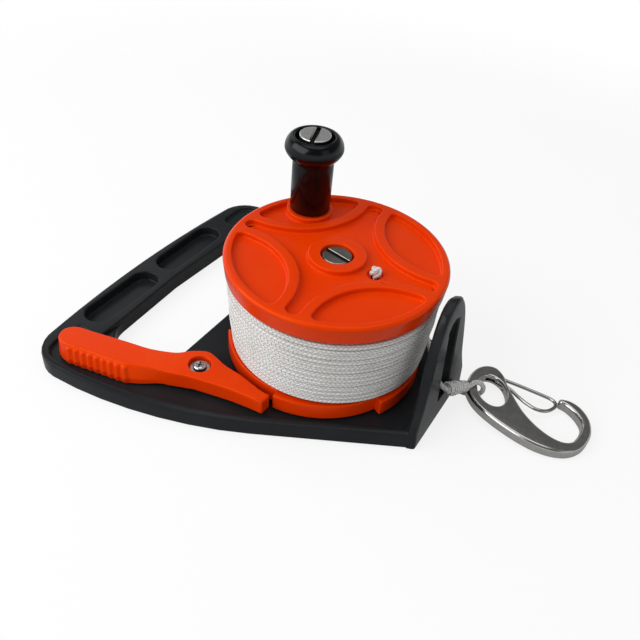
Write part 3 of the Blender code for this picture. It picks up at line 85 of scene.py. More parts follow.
class Value:
    """A number socket that takes part in Python sums."""

    def __init__(self, graph: "Graph", socket: bpy.types.NodeSocket) -> None:
        """Keep the socket and the graph that it belongs to."""
        self.graph = graph
        self.socket = socket

    def _sum(self, operation: str, *terms: "Value | float") -> "Value":
        """Add a Math node.

        Args:
            operation: the Math node's operation.
            terms: its inputs in order, values or plain numbers.

        Returns:
            The node's result.
        """
        made = self.graph.node("ShaderNodeMath", {"operation": operation},
                               dict(enumerate(terms)))
        return Value(self.graph, made.outputs[0])

    def __add__(self, other: "Value | float") -> "Value":
        """Return self + other."""
        return self._sum("ADD", self, other)

    def __radd__(self, other: float) -> "Value":
        """Return other + self."""
        return self._sum("ADD", other, self)

    def __sub__(self, other: "Value | float") -> "Value":
        """Return self - other."""
        return self._sum("SUBTRACT", self, other)

    def __rsub__(self, other: float) -> "Value":
        """Return other - self."""
        return self._sum("SUBTRACT", other, self)

    def __mul__(self, other: "Value | float") -> "Value":
        """Return self * other."""
        return self._sum("MULTIPLY", self, other)

    def __rmul__(self, other: float) -> "Value":
        """Return other * self."""
        return self._sum("MULTIPLY", other, self)

    def __truediv__(self, other: "Value | float") -> "Value":
        """Return self / other."""
        return self._sum("DIVIDE", self, other)

    def __pow__(self, other: "Value | float") -> "Value":
        """Return self to the power of other."""
        return self._sum("POWER", self, other)

    def sine(self) -> "Value":
        """Return the sine, of radians."""
        return self._sum("SINE", self)

    def fraction(self) -> "Value":
        """Return the part after the point."""
        return self._sum("FRACT", self)

    def floor(self) -> "Value":
        """Return the whole number below."""
        return self._sum("FLOOR", self)

    def size(self) -> "Value":
        """Return the value without its sign."""
        return self._sum("ABSOLUTE", self)

    def rest(self, divisor: float) -> "Value":
        """Return what is left after whole divisors."""
        return self._sum("FLOORED_MODULO", self, divisor)

    def above(self, limit: float) -> "Value":
        """Return 1 where the value is above the limit, 0 elsewhere."""
        return self._sum("GREATER_THAN", self, limit)

    def ramp(self, low: float, high: float) -> "Value":
        """Return a smooth rise from 0 at low to 1 at high."""
        made = self.graph.node("ShaderNodeMapRange",
                               {"interpolation_type": "SMOOTHSTEP"},
                               {0: self, 1: low, 2: high, 3: 0.0, 4: 1.0})
        return Value(self.graph, made.outputs[0])


class Graph:
    """The node tree of one material or world."""

    def __init__(self, tree: bpy.types.NodeTree) -> None:
        """Empty the tree and keep it."""
        self.tree = tree
        tree.nodes.clear()

    def node(self, kind: str, settings: dict | None = None,
             sockets: dict | None = None) -> bpy.types.Node:
        """Add a node.

        Args:
            kind: its type.
            settings: properties, set before any socket.
            sockets: values or links by input name or index.

        Returns:
            The node.
        """
        made = self.tree.nodes.new(kind)
        for key, value in (settings or {}).items():
            setattr(made, key, value)
        for key, value in (sockets or {}).items():
            socket = value.socket if isinstance(value, Value) else value
            if isinstance(socket, bpy.types.NodeSocket):
                self.tree.links.new(socket, made.inputs[key])
            else:
                made.inputs[key].default_value = socket
        return made

    def object_point(self) -> bpy.types.NodeSocket:
        """Return the point on the piece, in metres."""
        return self.node("ShaderNodeTexCoord").outputs["Object"]

    def mapped(self, point: bpy.types.NodeSocket, shift: Point = (0.0, 0.0, 0.0),
               scale: Point = (1.0, 1.0, 1.0)) -> bpy.types.NodeSocket:
        """Return a point scaled and shifted by a Mapping node."""
        made = self.node("ShaderNodeMapping", {},
                         {"Vector": point, "Location": shift, "Scale": scale})
        return made.outputs["Vector"]

    def parts(self, point: bpy.types.NodeSocket) -> tuple[Value, Value, Value]:
        """Return a vector's three numbers."""
        made = self.node("ShaderNodeSeparateXYZ", {}, {0: point})
        return tuple(Value(self, out) for out in made.outputs)

    def noise(self, point: bpy.types.NodeSocket, scale: float, detail: float = 3.0,
              roughness: float = 0.55) -> Value:
        """Return a noise value about one half."""
        made = self.node("ShaderNodeTexNoise", {},
                         {"Vector": point, "Scale": scale, "Detail": detail,
                          "Roughness": roughness})
        return Value(self, made.outputs["Fac"])

    def mix(self, share: "Value | float", low: object, high: object) -> bpy.types.NodeSocket:
        """Return a colour between two, by a share."""
        made = self.node("ShaderNodeMix", {"data_type": "RGBA"},
                         {0: share, 6: solid(low), 7: solid(high)})
        return made.outputs[2]

    def bump(self, height: Value, distance: float, strength: float,
             under: bpy.types.NodeSocket | None = None) -> bpy.types.NodeSocket:
        """Return a normal raised by a height, over another normal if one is given."""
        sockets = {"Height": height, "Distance": distance, "Strength": strength}
        if under is not None:
            sockets["Normal"] = under
        return self.node("ShaderNodeBump", {}, sockets).outputs["Normal"]

    def surface(self, sockets: dict) -> bpy.types.Node:
        """Add the Principled shader and the material's output."""
        shader = self.node("ShaderNodeBsdfPrincipled", {}, sockets)
        self.node("ShaderNodeOutputMaterial", {}, {"Surface": shader.outputs[0]})
        return shader


def solid(colour: object) -> object:
    """Return a plain colour with its alpha, and any socket as it is."""
    return (*colour, 1.0) if isinstance(colour, tuple) and len(colour) == 3 else colour


def new_graph(name: str) -> tuple[bpy.types.Material, Graph]:
    """Return an empty node material and its graph."""
    material = bpy.data.materials.new(name)
    material.use_nodes = True
    return material, Graph(material.node_tree)


# ------------------------------------------------------------------- finishes


@dataclass(frozen=True)
class MouldedPlastic:
    """Injection moulded plastic with a fine mould grain and faint flow marks."""

    name: str
    colour: Colour
    pale: Colour
    roughness: float
    specular: float = 0.5
    tint: Colour = (1.0, 1.0, 1.0)
    grain: float = 0.010 * MM
    grain_scale: float = 2600.0
    flow_scale: float = 55.0

    def material(self) -> bpy.types.Material:
        """Return the finish as a material."""
        material, graph = new_graph(self.name)
        point = graph.object_point()
        flow = graph.noise(graph.mapped(point, scale=(1.0, 0.55, 0.8)),
                           self.flow_scale, 4.0, 0.5)
        grain = graph.noise(point, self.grain_scale, 2.0)
        peel = graph.noise(point, self.grain_scale * 0.16, 2.0)
        scuff = graph.noise(graph.mapped(point, scale=(1.0, 7.0, 1.0)), 420.0, 5.0, 0.7)
        marks = scuff.ramp(0.60, 0.72)
        colour = graph.mix(flow.ramp(0.35, 0.70) * 0.55 + marks * 0.10,
                           self.colour, self.pale)
        rough = self.roughness + (flow - 0.5) * 0.10 + (grain - 0.5) * 0.08 + marks * 0.07
        normal = graph.bump(peel, self.grain * 4.0, 0.25)
        graph.surface({
            "Base Color": colour, "Roughness": rough, "Specular IOR Level": self.specular,
            "Specular Tint": solid(self.tint),
            "Normal": graph.bump(grain, self.grain, 0.55, normal)})
        return material


@dataclass(frozen=True)
class BraidedLine:
    """Round plait of soft white yarns, drawn on a tube's own map.

    The map's first number is the length along the line in metres, the second the
    share of the way round it. Each column of the plait is a row of slanting yarns, and
    the next column slants the other way.
    """

    name: str
    pale: Colour = (0.90, 0.89, 0.87)
    shade: Colour = (0.44, 0.435, 0.42)
    grime: Colour = (0.66, 0.645, 0.58)
    pick: float = 1.85 * MM
    columns: int = 4
    slant: float = 0.62
    filaments: float = 4.0
    depth: float = 0.20 * MM
    roll: float = 1.3
    # Strength of the painted shade where rows of line touch.
    crease_shade: float = 0.55

    def material(self) -> bpy.types.Material:
        """Return the finish as a material."""
        material, graph = new_graph(self.name)
        uv = graph.node("ShaderNodeUVMap", {"uv_map": "line"}).outputs[0]
        point = graph.object_point()
        along, round_, _ = graph.parts(uv)
        turn = graph.noise(graph.mapped(uv, scale=(24.0, 0.0, 1.0)), 1.0, 1.0) * self.roll
        wander = (graph.noise(point, 240.0, 2.0) - 0.5) * 0.5
        place = round_ * float(self.columns) + turn + (graph.noise(point, 420.0, 1.0) - 0.5) * 0.4
        column = place.floor()
        across = place.fraction()
        odd = column.rest(2.0)
        lean = (odd * 2 - 1) * (across - 0.5) * self.slant
        step = along / self.pick + wander + lean + odd * 0.5
        share = step.fraction()
        swell = (share * math.pi).sine() ** 0.7
        sides = (across * math.pi).sine() ** 0.6
        crown = swell * sides
        hair = (across * (self.filaments * 2 * math.pi)).sine() * 0.5 + 0.5
        fuzz = graph.noise(point, 5200.0, 3.0, 0.7)
        height = crown + hair * 0.09 + fuzz * 0.12
        soil = graph.noise(point, 60.0, 4.0, 0.6).ramp(0.46, 0.74)
        tone = graph.noise(graph.mapped(uv, scale=(300.0, 3.0, 1.0)), 1.0, 2.0)
        yarn = graph.noise(graph.mapped(uv, scale=(640.0, 5.0, 1.0)), 1.0, 0.0)
        # Painted shade: the yarns turn darker at the top and bottom of the tube's section, where
        # rows touch.
        crease_shade_mask = (round_ * (2 * math.pi)).sine().size().ramp(0.76, 1.0) * self.crease_shade
        worn = graph.mix(soil * 0.5, self.pale, self.grime)
        light = crown.ramp(0.05, 0.60) * (0.74 + tone * 0.30 + yarn * 0.22) * (1 - crease_shade_mask)
        colour = graph.mix(light - hair * 0.04, self.shade, worn)
        graph.surface({
            "Base Color": colour, "Roughness": 0.80 - crown * 0.14,
            "Normal": graph.bump(height, self.depth, 1.0),
            "Sheen Weight": 0.12, "Sheen Roughness": 0.5})
        return material


@dataclass(frozen=True)
class TurnedSteel:
    """Stainless steel faced on a lathe: fine rings about an upright axis."""

    name: str
    axis: Pair
    face: float = 1.0
    colour: Colour = (0.62, 0.615, 0.60)
    dull: Colour = (0.46, 0.455, 0.44)
    roughness: float = 0.26
    ring: float = 0.16 * MM
    depth: float = 0.005 * MM
    # Depths below the face over which the slot is painted dark as shade.
    slot_shade_depths: Pair = (0.30 * MM, 0.65 * MM)
    dark: Colour = (0.030, 0.029, 0.027)

    def material(self) -> bpy.types.Material:
        """Return the finish as a material."""
        material, graph = new_graph(self.name)
        point = graph.object_point()
        x, y, z = graph.parts(graph.mapped(point, shift=(-self.axis[0], -self.axis[1], 0.0)))
        radius = (x * x + y * y) ** 0.5
        # Painted shade: below the face the slot turns to the dark colour and grows rougher.
        sunk = (self.face - z).ramp(*self.slot_shade_depths) if self.face < 1.0 else 0.0
        shiver = graph.noise(point, 900.0, 2.0)
        rings = ((radius / self.ring + shiver * 1.5) * (2 * math.pi)).sine() * 0.5 + 0.5
        stain = graph.noise(point, 380.0, 4.0, 0.65)
        pits = graph.noise(point, 3000.0, 2.0).ramp(0.62, 0.75)
        steel = graph.mix(stain.ramp(0.35, 0.7) * 0.7 + pits * 0.3, self.colour, self.dull)
        graph.surface({
            "Base Color": graph.mix(sunk, steel, self.dark),
            "Metallic": 1.0,
            "Roughness": self.roughness + rings * 0.06 + stain * 0.08 + sunk * 0.3,
            "Normal": graph.bump(rings + pits * 0.6, self.depth, 0.6)})
        return material


@dataclass(frozen=True)
class CastSteel:
    """Dark polished casting with faint ripples, pores and fine scratches."""

    name: str
    colour: Colour = (0.44, 0.435, 0.42)
    pale: Colour = (0.52, 0.515, 0.50)
    roughness: float = 0.13
    ripple: float = 0.010 * MM

    def material(self) -> bpy.types.Material:
        """Return the finish as a material."""
        material, graph = new_graph(self.name)
        point = graph.object_point()
        ripple = graph.noise(point, 130.0, 2.0, 0.4)
        cloud = graph.noise(point, 260.0, 4.0, 0.6)
        pores = graph.noise(point, 2400.0, 2.0).ramp(0.62, 0.72)
        lines = graph.noise(graph.mapped(point, scale=(7.0, 1.0, 1.0)), 600.0, 3.0, 0.7)
        scratch = lines.ramp(0.62, 0.72)
        graph.surface({
            "Base Color": graph.mix(cloud.ramp(0.35, 0.70) * 0.8 + pores * 0.2,
                                    self.colour, self.pale),
            "Metallic": 1.0,
            "Roughness": self.roughness + cloud * 0.08 + scratch * 0.06 + pores * 0.10,
            "Normal": graph.bump(ripple, self.ripple, 0.5,
                                 graph.bump(scratch + pores, 0.003 * MM, 0.35))})
        return material


# ------------------------------------------------------------------ workbench


class Bench:
    """The modelling steps that the sub-assemblies share."""

    @staticmethod
    def hold(piece: bpy.types.Object) -> None:
        """Select this piece alone and make it active."""
        bpy.ops.object.select_all(action="DESELECT")
        piece.select_set(True)
        bpy.context.view_layer.objects.active = piece

    @staticmethod
    def turned(name: str, profile: list[Pair], segments: int,
               closed: bool = False) -> bpy.types.Object:
        """Draw a circle and extrude it ring by ring along a profile about Z.

        Args:
            name: the piece's name.
            profile: (radius, height) rings.
            segments: corners of the circle.
            closed: whether the last ring joins the first, as in a tube or washer.

        Returns:
            The closed piece.
        """
        bpy.ops.object.select_all(action="DESELECT")
        radius, height = profile[0]
        bpy.ops.mesh.primitive_circle_add(vertices=segments, radius=radius,
                                          location=(0.0, 0.0, height))
        piece = bpy.context.object
        piece.name = name
        bpy.ops.object.transform_apply(location=True)
        bpy.ops.object.mode_set(mode="EDIT")
        bpy.ops.mesh.select_all(action="SELECT")
        rings = profile + profile[:1] if closed else profile
        for (before, low), (after, high) in zip(rings, rings[1:]):
            bpy.ops.mesh.extrude_region_move(
                TRANSFORM_OT_translate={"value": (0.0, 0.0, high - low)})
            if after != before:
                scale = after / before
                bpy.ops.transform.resize(value=(scale, scale, 1.0),
                                         center_override=(0.0, 0.0, high))
        bpy.ops.mesh.select_all(action="SELECT")
        if closed:
            bpy.ops.mesh.remove_doubles(threshold=1e-6)
        else:
            bpy.ops.mesh.fill_holes(sides=0)
        bpy.ops.mesh.normals_make_consistent(inside=False)
        bpy.ops.object.mode_set(mode="OBJECT")
        return piece

    @staticmethod
    def loft(name: str, levels: list[tuple[list[Pair], float]]) -> bpy.types.Object:
        """Lay a circle out as an outline and extrude it level by level.

        Args:
            name: the piece's name.
            levels: outlines with the same number of points, and their heights.

        Returns:
            The closed piece.
        """
        bpy.ops.object.select_all(action="DESELECT")
        outline, height = levels[0]
        bpy.ops.mesh.primitive_circle_add(vertices=len(outline), radius=1.0,
                                          fill_type="NGON", location=(0.0, 0.0, 0.0))
        piece = bpy.context.object
        piece.name = name
        order = sorted(piece.data.vertices,
                       key=lambda v: math.atan2(v.co.y, v.co.x) % (2 * math.pi - 1e-6))
        for vert, point in zip(order, outline):
            vert.co = (*point, height)
        bpy.ops.object.mode_set(mode="EDIT")
        bpy.ops.mesh.select_all(action="SELECT")
        for after, high in levels[1:]:
            bpy.ops.mesh.extrude_region_move()
            shape = bmesh.from_edit_mesh(piece.data)
            for vert in (v for v in shape.verts if v.select):
                rank = min(range(len(outline)), key=lambda k: (
                    vert.co.xy - Vector(outline[k])).length_squared)
                vert.co = (*after[rank], high)
            bmesh.update_edit_mesh(piece.data)
            outline = after
        bpy.ops.mesh.select_all(action="SELECT")
        bpy.ops.mesh.normals_make_consistent(inside=False)
        bpy.ops.object.mode_set(mode="OBJECT")
        return piece

    @staticmethod
    def cylinder(name: str, radius: float, low: float, high: float, place: Pair = (0.0, 0.0),
                 segments: int = 96) -> bpy.types.Object:
        """Return an upright cylinder between two heights."""
        bpy.ops.object.select_all(action="DESELECT")
        bpy.ops.mesh.primitive_cylinder_add(
            vertices=segments, radius=radius, depth=high - low,
            location=(*place, (low + high) / 2))
        piece = bpy.context.object
        piece.name = name
        bpy.ops.object.transform_apply(location=True)
        return piece

    @staticmethod
    def block(name: str, size: Point, place: Point, turn: float = 0.0) -> bpy.types.Object:
        """Return a box of a size at a place, turned about its own upright axis."""
        bpy.ops.object.select_all(action="DESELECT")
        bpy.ops.mesh.primitive_cube_add(size=1.0, location=place,
                                        rotation=(0.0, 0.0, turn), scale=size)
        piece = bpy.context.object
        piece.name = name
        bpy.ops.object.transform_apply(location=True, rotation=True, scale=True)
        return piece

    @staticmethod
    def join(piece: bpy.types.Object, tool: bpy.types.Object,
             operation: str = "DIFFERENCE") -> bpy.types.Object:
        """Apply a boolean of the tool to the piece and remove the tool."""
        Bench.hold(piece)
        modifier = piece.modifiers.new(operation.lower(), "BOOLEAN")
        modifier.operation = operation
        modifier.solver = "EXACT"
        modifier.object = tool
        bpy.ops.object.modifier_apply(modifier=modifier.name)
        bpy.data.objects.remove(tool)
        return piece

    @staticmethod
    def round_edges(piece: bpy.types.Object, width: float, segments: int, angle: float,
                    chosen: Callable[[Vector, Vector], bool],
                    clamp: bool = True) -> bpy.types.Object:
        """Bevel the sharp edges that a rule chooses.

        Args:
            piece: the piece.
            width: the bevel's width.
            segments: its segments.
            angle: only edges sharper than this many degrees are bevelled.
            chosen: says whether an edge between two points is bevelled.
            clamp: keep the width below what the shortest edge allows.

        Returns:
            The piece.
        """
        Bench.hold(piece)
        bpy.ops.object.mode_set(mode="EDIT")
        bpy.ops.mesh.select_mode(type="EDGE")
        bpy.ops.mesh.select_all(action="DESELECT")
        shape = bmesh.from_edit_mesh(piece.data)
        for edge in shape.edges:
            a, b = (vert.co for vert in edge.verts)
            if (len(edge.link_faces) == 2 and edge.calc_face_angle() > math.radians(angle)
                    and chosen(a, b)):
                edge.select_set(True)
        bmesh.update_edit_mesh(piece.data)
        bpy.ops.mesh.bevel(offset=width, segments=segments, affect="EDGES",
                           clamp_overlap=clamp)
        bpy.ops.object.mode_set(mode="OBJECT")
        return piece

    @staticmethod
    def clean(piece: bpy.types.Object, flat: float = 0.3) -> bpy.types.Object:
        """Merge doubled points and dissolve the edges inside flat faces."""
        Bench.hold(piece)
        bpy.ops.object.mode_set(mode="EDIT")
        bpy.ops.mesh.select_mode(type="VERT")
        bpy.ops.mesh.select_all(action="SELECT")
        bpy.ops.mesh.remove_doubles(threshold=0.00002)
        bpy.ops.mesh.dissolve_degenerate(threshold=0.00002)
        bpy.ops.mesh.dissolve_limited(angle_limit=math.radians(flat))
        bpy.ops.mesh.normals_make_consistent(inside=False)
        bpy.ops.object.mode_set(mode="OBJECT")
        return piece

    @staticmethod
    def cut(piece: bpy.types.Object) -> bpy.types.Object:
        """Cut faces of five sides and more into triangles."""
        Bench.hold(piece)
        modifier = piece.modifiers.new("cut", "TRIANGULATE")
        modifier.min_vertices = 5
        bpy.ops.object.modifier_apply(modifier=modifier.name)
        return piece

    @staticmethod
    def ease(piece: bpy.types.Object, width: float, segments: int = 3,
             angle: float = 30.0) -> bpy.types.Object:
        """Round every edge sharper than an angle."""
        Bench.hold(piece)
        modifier = piece.modifiers.new("ease", "BEVEL")
        modifier.width = width
        modifier.segments = segments
        modifier.limit_method = "ANGLE"
        modifier.angle_limit = math.radians(angle)
        modifier.use_clamp_overlap = False
        modifier.miter_outer = "MITER_ARC"
        bpy.ops.object.modifier_apply(modifier=modifier.name)
        return piece

    @staticmethod
    def shade(piece: bpy.types.Object, angle: float = 40.0,
              weighted: bool = True) -> bpy.types.Object:
        """Shade smooth, keeping flat faces flat."""
        Bench.cut(piece)
        bpy.ops.object.shade_smooth_by_angle(angle=math.radians(angle))
        if weighted:
            modifier = piece.modifiers.new("normals", "WEIGHTED_NORMAL")
            modifier.keep_sharp = True
            bpy.ops.object.modifier_apply(modifier=modifier.name)
        return piece

    @staticmethod
    def copy_of(node: str, name: str) -> bpy.types.Object:
        """Return a loose copy of a CAD node, merged and with flat faces made whole."""
        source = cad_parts[node]
        piece = bpy.data.objects.new(name, source.data.copy())
        bpy.context.scene.collection.objects.link(piece)
        piece.data.materials.clear()
        if piece.data.has_custom_normals:
            Bench.hold(piece)
            bpy.ops.mesh.customdata_custom_splitnormals_clear()
        return Bench.clean(piece)

    @staticmethod
    def move(piece: bpy.types.Object, place: Point) -> bpy.types.Object:
        """Shift a piece's mesh."""
        piece.data.transform(Matrix.Translation(place))
        return piece

    @staticmethod
    def onto_spool(piece: bpy.types.Object) -> bpy.types.Object:
        """Move a piece modelled about the axle onto it."""
        return Bench.move(piece, (SPOOL_X, 0.0, 0.0))

    @staticmethod
    def fit(piece: bpy.types.Object, body: Body, slot: Slot, material: bpy.types.Material,
            *nodes: str) -> bpy.types.Object:
        """Dress a finished piece and put it on its body.

        Args:
            piece: the piece, with its place in its mesh.
            body: the body that it rides on.
            slot: the record's material slot; not used.
            material: its finish.
            nodes: the CAD nodes that it stands for.

        Returns:
            The piece.
        """
        piece.data.materials.clear()
        piece.data.materials.append(material)
        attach(piece, body.value)
        if nodes:
            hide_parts(*nodes)
        log.info("%s rides on %s", piece.name, body.value)
        return piece

    @staticmethod
    def dress(node: str, material: bpy.types.Material) -> None:
        """Give a CAD node that stays its finish."""
        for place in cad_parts[node].material_slots:
            place.material = material
        log.info("%s keeps its CAD shape", node)


def polar(radius: float, angle: float) -> Pair:
    """Return the plan point at a radius and an angle."""
    return radius * math.cos(angle), radius * math.sin(angle)


def quarter(centre: Pair, radius: float, start: float, end: float, steps: int) -> list[Pair]:
    """Return the points of an arc, angles in degrees."""
    points = []
    for step in range(steps + 1):
        dx, dy = polar(radius, math.radians(start + (end - start) * step / steps))
        points.append((centre[0] + dx, centre[1] + dy))
    return points


def arc(centre: Pair, first: Pair, last: Pair, steps: int) -> list[Pair]:
    """Return the points from one place to another the short way round a centre."""
    out = Vector(first) - Vector(centre)
    turn = out.angle_signed(Vector(last) - Vector(centre))
    start = math.atan2(out.y, out.x)
    points = []
    for step in range(steps + 1):
        dx, dy = polar(out.length, start - turn * step / steps)
        points.append((centre[0] + dx, centre[1] + dy))
    return points


def grown(outline: list[Pair], distances: list[float]) -> list[Pair]:
    """Return an anticlockwise outline with each point moved outwards by its distance."""
    result = []
    for index, (point, distance) in enumerate(zip(outline, distances)):
        before = Vector(outline[index - 1])
        after = Vector(outline[(index + 1) % len(outline)])
        along = (after - before).normalized()
        result.append((point[0] + distance * along.y, point[1] - distance * along.x))
    return result


def spline(points: list[Point], steps: int, closed: bool = False) -> list[Vector]:
    """Return a smooth run through the points.

    Args:
        points: the points in order.
        steps: steps drawn between two of them.
        closed: whether the run closes on itself.

    Returns:
        The drawn points.
    """
    rows = [Vector(point) for point in points]
    count = len(rows)
    if not closed:
        rows = [2 * rows[0] - rows[1], *rows, 2 * rows[-1] - rows[-2]]
    spans = count if closed else count - 1
    result = []
    for span in range(spans):
        shift = span - 1 if closed else span
        a, b, c, d = (rows[(shift + k) % len(rows)] for k in range(4))
        for step in range(steps):
            t = step / steps
            result.append((2 * b + (c - a) * t + (2 * a - 5 * b + 4 * c - d) * t ** 2
                           + (3 * b - a - 3 * c + d) * t ** 3) / 2)
    if not closed:
        result.append(rows[-2])
    return result


def run_length(points: list[Vector]) -> float:
    """Return the length of a run of points."""
    return sum((b - a).length for a, b in zip(points, points[1:]))


def tube(name: str, path: list[Vector], across: float, tall: float | None = None,
         sides: int = 14, closed: bool = False) -> bpy.types.Object:
    """Skin a run of points with a round or flattened section.

    Args:
        name: the piece's name.
        path: the centreline.
        across: half the section's width, square to Z where it is flattened.
        tall: half its height, for a flattened section.
        sides: corners of the section.
        closed: whether the run closes on itself.

    Returns:
        The piece, with a map of length and share round on "line".
    """
    tall = across if tall is None else tall
    count = len(path)
    tangents = []
    for index in range(count):
        after = path[(index + 1) % count] if closed or index + 1 < count else path[index]
        before = path[index - 1] if closed or index else path[index]
        tangents.append((after - before).normalized())
    side = tangents[0].cross(Vector((0.0, 0.0, 1.0)))
    if side.length < 0.1:
        side = tangents[0].cross(Vector((1.0, 0.0, 0.0)))
    side.normalize()
    verts, lengths, run = [], [], 0.0
    for index, (point, tangent) in enumerate(zip(path, tangents)):
        if across != tall:
            side = tangent.cross(Vector((0.0, 0.0, 1.0)))
        side = (side - tangent * side.dot(tangent)).normalized()
        rise = side.cross(tangent)
        if index:
            run += (point - path[index - 1]).length
        lengths.append(run)
        for k in range(sides):
            c, s = polar(1.0, 2 * math.pi * k / sides)
            verts.append(point + side * (across * c) + rise * (tall * s))
    lengths.append(run + (path[0] - path[-1]).length)
    faces, marks = [], []
    for index in range(count if closed else count - 1):
        after = (index + 1) % count
        for k in range(sides):
            beside = (k + 1) % sides
            faces.append((index * sides + k, index * sides + beside,
                          after * sides + beside, after * sides + k))
            share, next_share = k / sides, (k + 1) / sides
            here, there = lengths[index], lengths[index + 1]
            marks += [(here, share), (here, next_share), (there, next_share), (there, share)]
    if not closed:
        faces.append(tuple(range(sides))[::-1])
        marks += [(0.0, 0.0)] * sides
        faces.append(tuple((count - 1) * sides + k for k in range(sides)))
        marks += [(lengths[count - 1], 0.0)] * sides
    mesh = bpy.data.meshes.new(name)
    mesh.from_pydata(verts, [], faces)
    layer = mesh.uv_layers.new(name="line")
    layer.data.foreach_set("uv", [number for mark in marks for number in mark])
    piece = bpy.data.objects.new(name, mesh)
    bpy.context.scene.collection.objects.link(piece)
    Bench.hold(piece)
    bpy.ops.object.mode_set(mode="EDIT")
    bpy.ops.mesh.select_all(action="SELECT")
    bpy.ops.mesh.normals_make_consistent(inside=False)
    bpy.ops.object.mode_set(mode="OBJECT")
    bpy.ops.object.shade_smooth()
    return piece


# --------------------------------------------------------------------- studio


@dataclass
class Studio:
    """Camera at the photograph's angle, a white floor and soft lights."""

    place: Point = (0.13498, -0.21892, 0.23533)
    right: Point = (0.85189, 0.51787, 0.07800)
    up: Point = (-0.39067, 0.52920, 0.75321)
    forward: Point = (-0.34878, 0.67213, -0.65314)
    lens: float = 40.53
    floor_reach: float = 0.62
    floor_fade: Pair = (0.30, 0.55)
    floor_colour: Colour = (0.93, 0.93, 0.93)
    table_colour: Colour = (0.48, 0.48, 0.48)
    floor_white: float = 0.80
    floor_mirrored: float = 0.25
    world_level: float = 0.36
    ceiling_level: float = 0.17

    def camera(self) -> None:
        """Set the camera."""
        data = bpy.data.cameras.new("camera")
        data.sensor_width = 36.0
        data.lens = self.lens
        data.clip_start = 0.01
        camera = bpy.data.objects.new("camera", data)
        bpy.context.scene.collection.objects.link(camera)
        rows = zip(self.right, self.up, (-x for x in self.forward))
        turn = Matrix(tuple(rows)).to_4x4()
        camera.matrix_world = Matrix.Translation(self.place) @ turn
        bpy.context.scene.camera = camera

    def floor(self) -> None:
        """Lay a round floor that keeps the shadow and fades into white."""
        bpy.ops.object.select_all(action="DESELECT")
        bpy.ops.mesh.primitive_circle_add(vertices=96, radius=self.floor_reach,
                                          fill_type="NGON", location=(SPOOL_X, 0.0, -0.0001))
        piece = bpy.context.object
        piece.name = "studio_floor"
        bpy.ops.object.transform_apply(location=True)
        material, graph = new_graph("studio_floor")
        point = graph.object_point()
        x, y, _ = graph.parts(graph.mapped(point, shift=(-SPOOL_X, 0.0, 0.0)))
        fade = ((x * x + y * y) ** 0.5).ramp(*self.floor_fade)
        grain = graph.noise(point, 40.0, 3.0)
        path = graph.node("ShaderNodeLightPath").outputs
        direct = Value(graph, path["Is Camera Ray"]) + Value(graph, path["Is Transmission Ray"])
        paper = graph.node("ShaderNodeBsdfDiffuse", {}, {
            "Color": graph.mix(direct, self.table_colour,
                               graph.mix(grain * 0.2, self.floor_colour, (0.95, 0.95, 0.95)))})
        seen = direct + Value(graph, path["Is Glossy Ray"]) * self.floor_mirrored
        white = graph.node("ShaderNodeEmission", {}, {"Color": (1.0, 1.0, 1.0, 1.0),
                                                      "Strength": 1.0})
        bright = graph.node("ShaderNodeMixShader", {}, {
            0: seen * self.floor_white, 1: paper.outputs[0], 2: white.outputs[0]})
        clear = graph.node("ShaderNodeBsdfTransparent")
        blend = graph.node("ShaderNodeMixShader", {}, {0: fade, 1: bright.outputs[0],
                                                       2: clear.outputs[0]})
        graph.node("ShaderNodeOutputMaterial", {}, {"Surface": blend.outputs[0]})
        piece.data.materials.append(material)

    def lamp(self, name: str, place: Point, aim: Point, size: Pair, power: float) -> None:
        """Hang a soft box that faces a point."""
        data = bpy.data.lights.new(name, "AREA")
        data.shape = "RECTANGLE"
        data.size, data.size_y = size
        data.energy = power
        lamp = bpy.data.objects.new(name, data)
        bpy.context.scene.collection.objects.link(lamp)
        lamp.location = place
        lamp.rotation_euler = (Vector(aim) - Vector(place)).to_track_quat("-Z", "Y").to_euler()

    def light(self) -> None:
        """Hang the soft boxes and light the room."""
        self.lamp("top_box", (0.0, 0.05, 0.90), (0.02, 0.0, 0.03), (0.70, 0.70), 1.9)
        self.lamp("left_box", (-0.45, -0.58, 0.56), (0.0, 0.0, 0.03), (1.05, 0.62), 6.6)
        self.lamp("back_box", (-0.52, 0.26, 0.42), (-0.10, 0.0, 0.02), (0.40, 0.30), 0.26)
        self.lamp("right_box", (0.75, -0.15, 0.45), (0.03, 0.0, 0.03), (0.40, 0.45), 0.3)
        world = bpy.data.worlds.new("studio")
        world.use_nodes = True
        bpy.context.scene.world = world
        graph = Graph(world.node_tree)
        path = graph.node("ShaderNodeLightPath").outputs
        seen = Value(graph, path["Is Camera Ray"]) + Value(graph, path["Is Transmission Ray"])
        mirrored = Value(graph, path["Is Glossy Ray"])
        _, _, rise = graph.parts(graph.node("ShaderNodeTexCoord").outputs["Generated"])
        sky = 1 - rise.ramp(0.06, 0.38) * (1 - self.ceiling_level)
        level = (self.world_level + seen * (1 - self.world_level)
                 + mirrored * (sky - self.world_level))
        back = graph.node("ShaderNodeBackground", {}, {"Color": (1.0, 1.0, 1.0, 1.0),
                                                       "Strength": level})
        graph.node("ShaderNodeOutputWorld", {}, {"Surface": back.outputs[0]})
        bpy.context.scene.view_settings.view_transform = "Standard"

    def build(self) -> None:
        """Set up the whole studio."""
        self.camera()
        self.floor()
        self.light()
        log.info("studio set")


# ----------------------------------------------------------------------- line


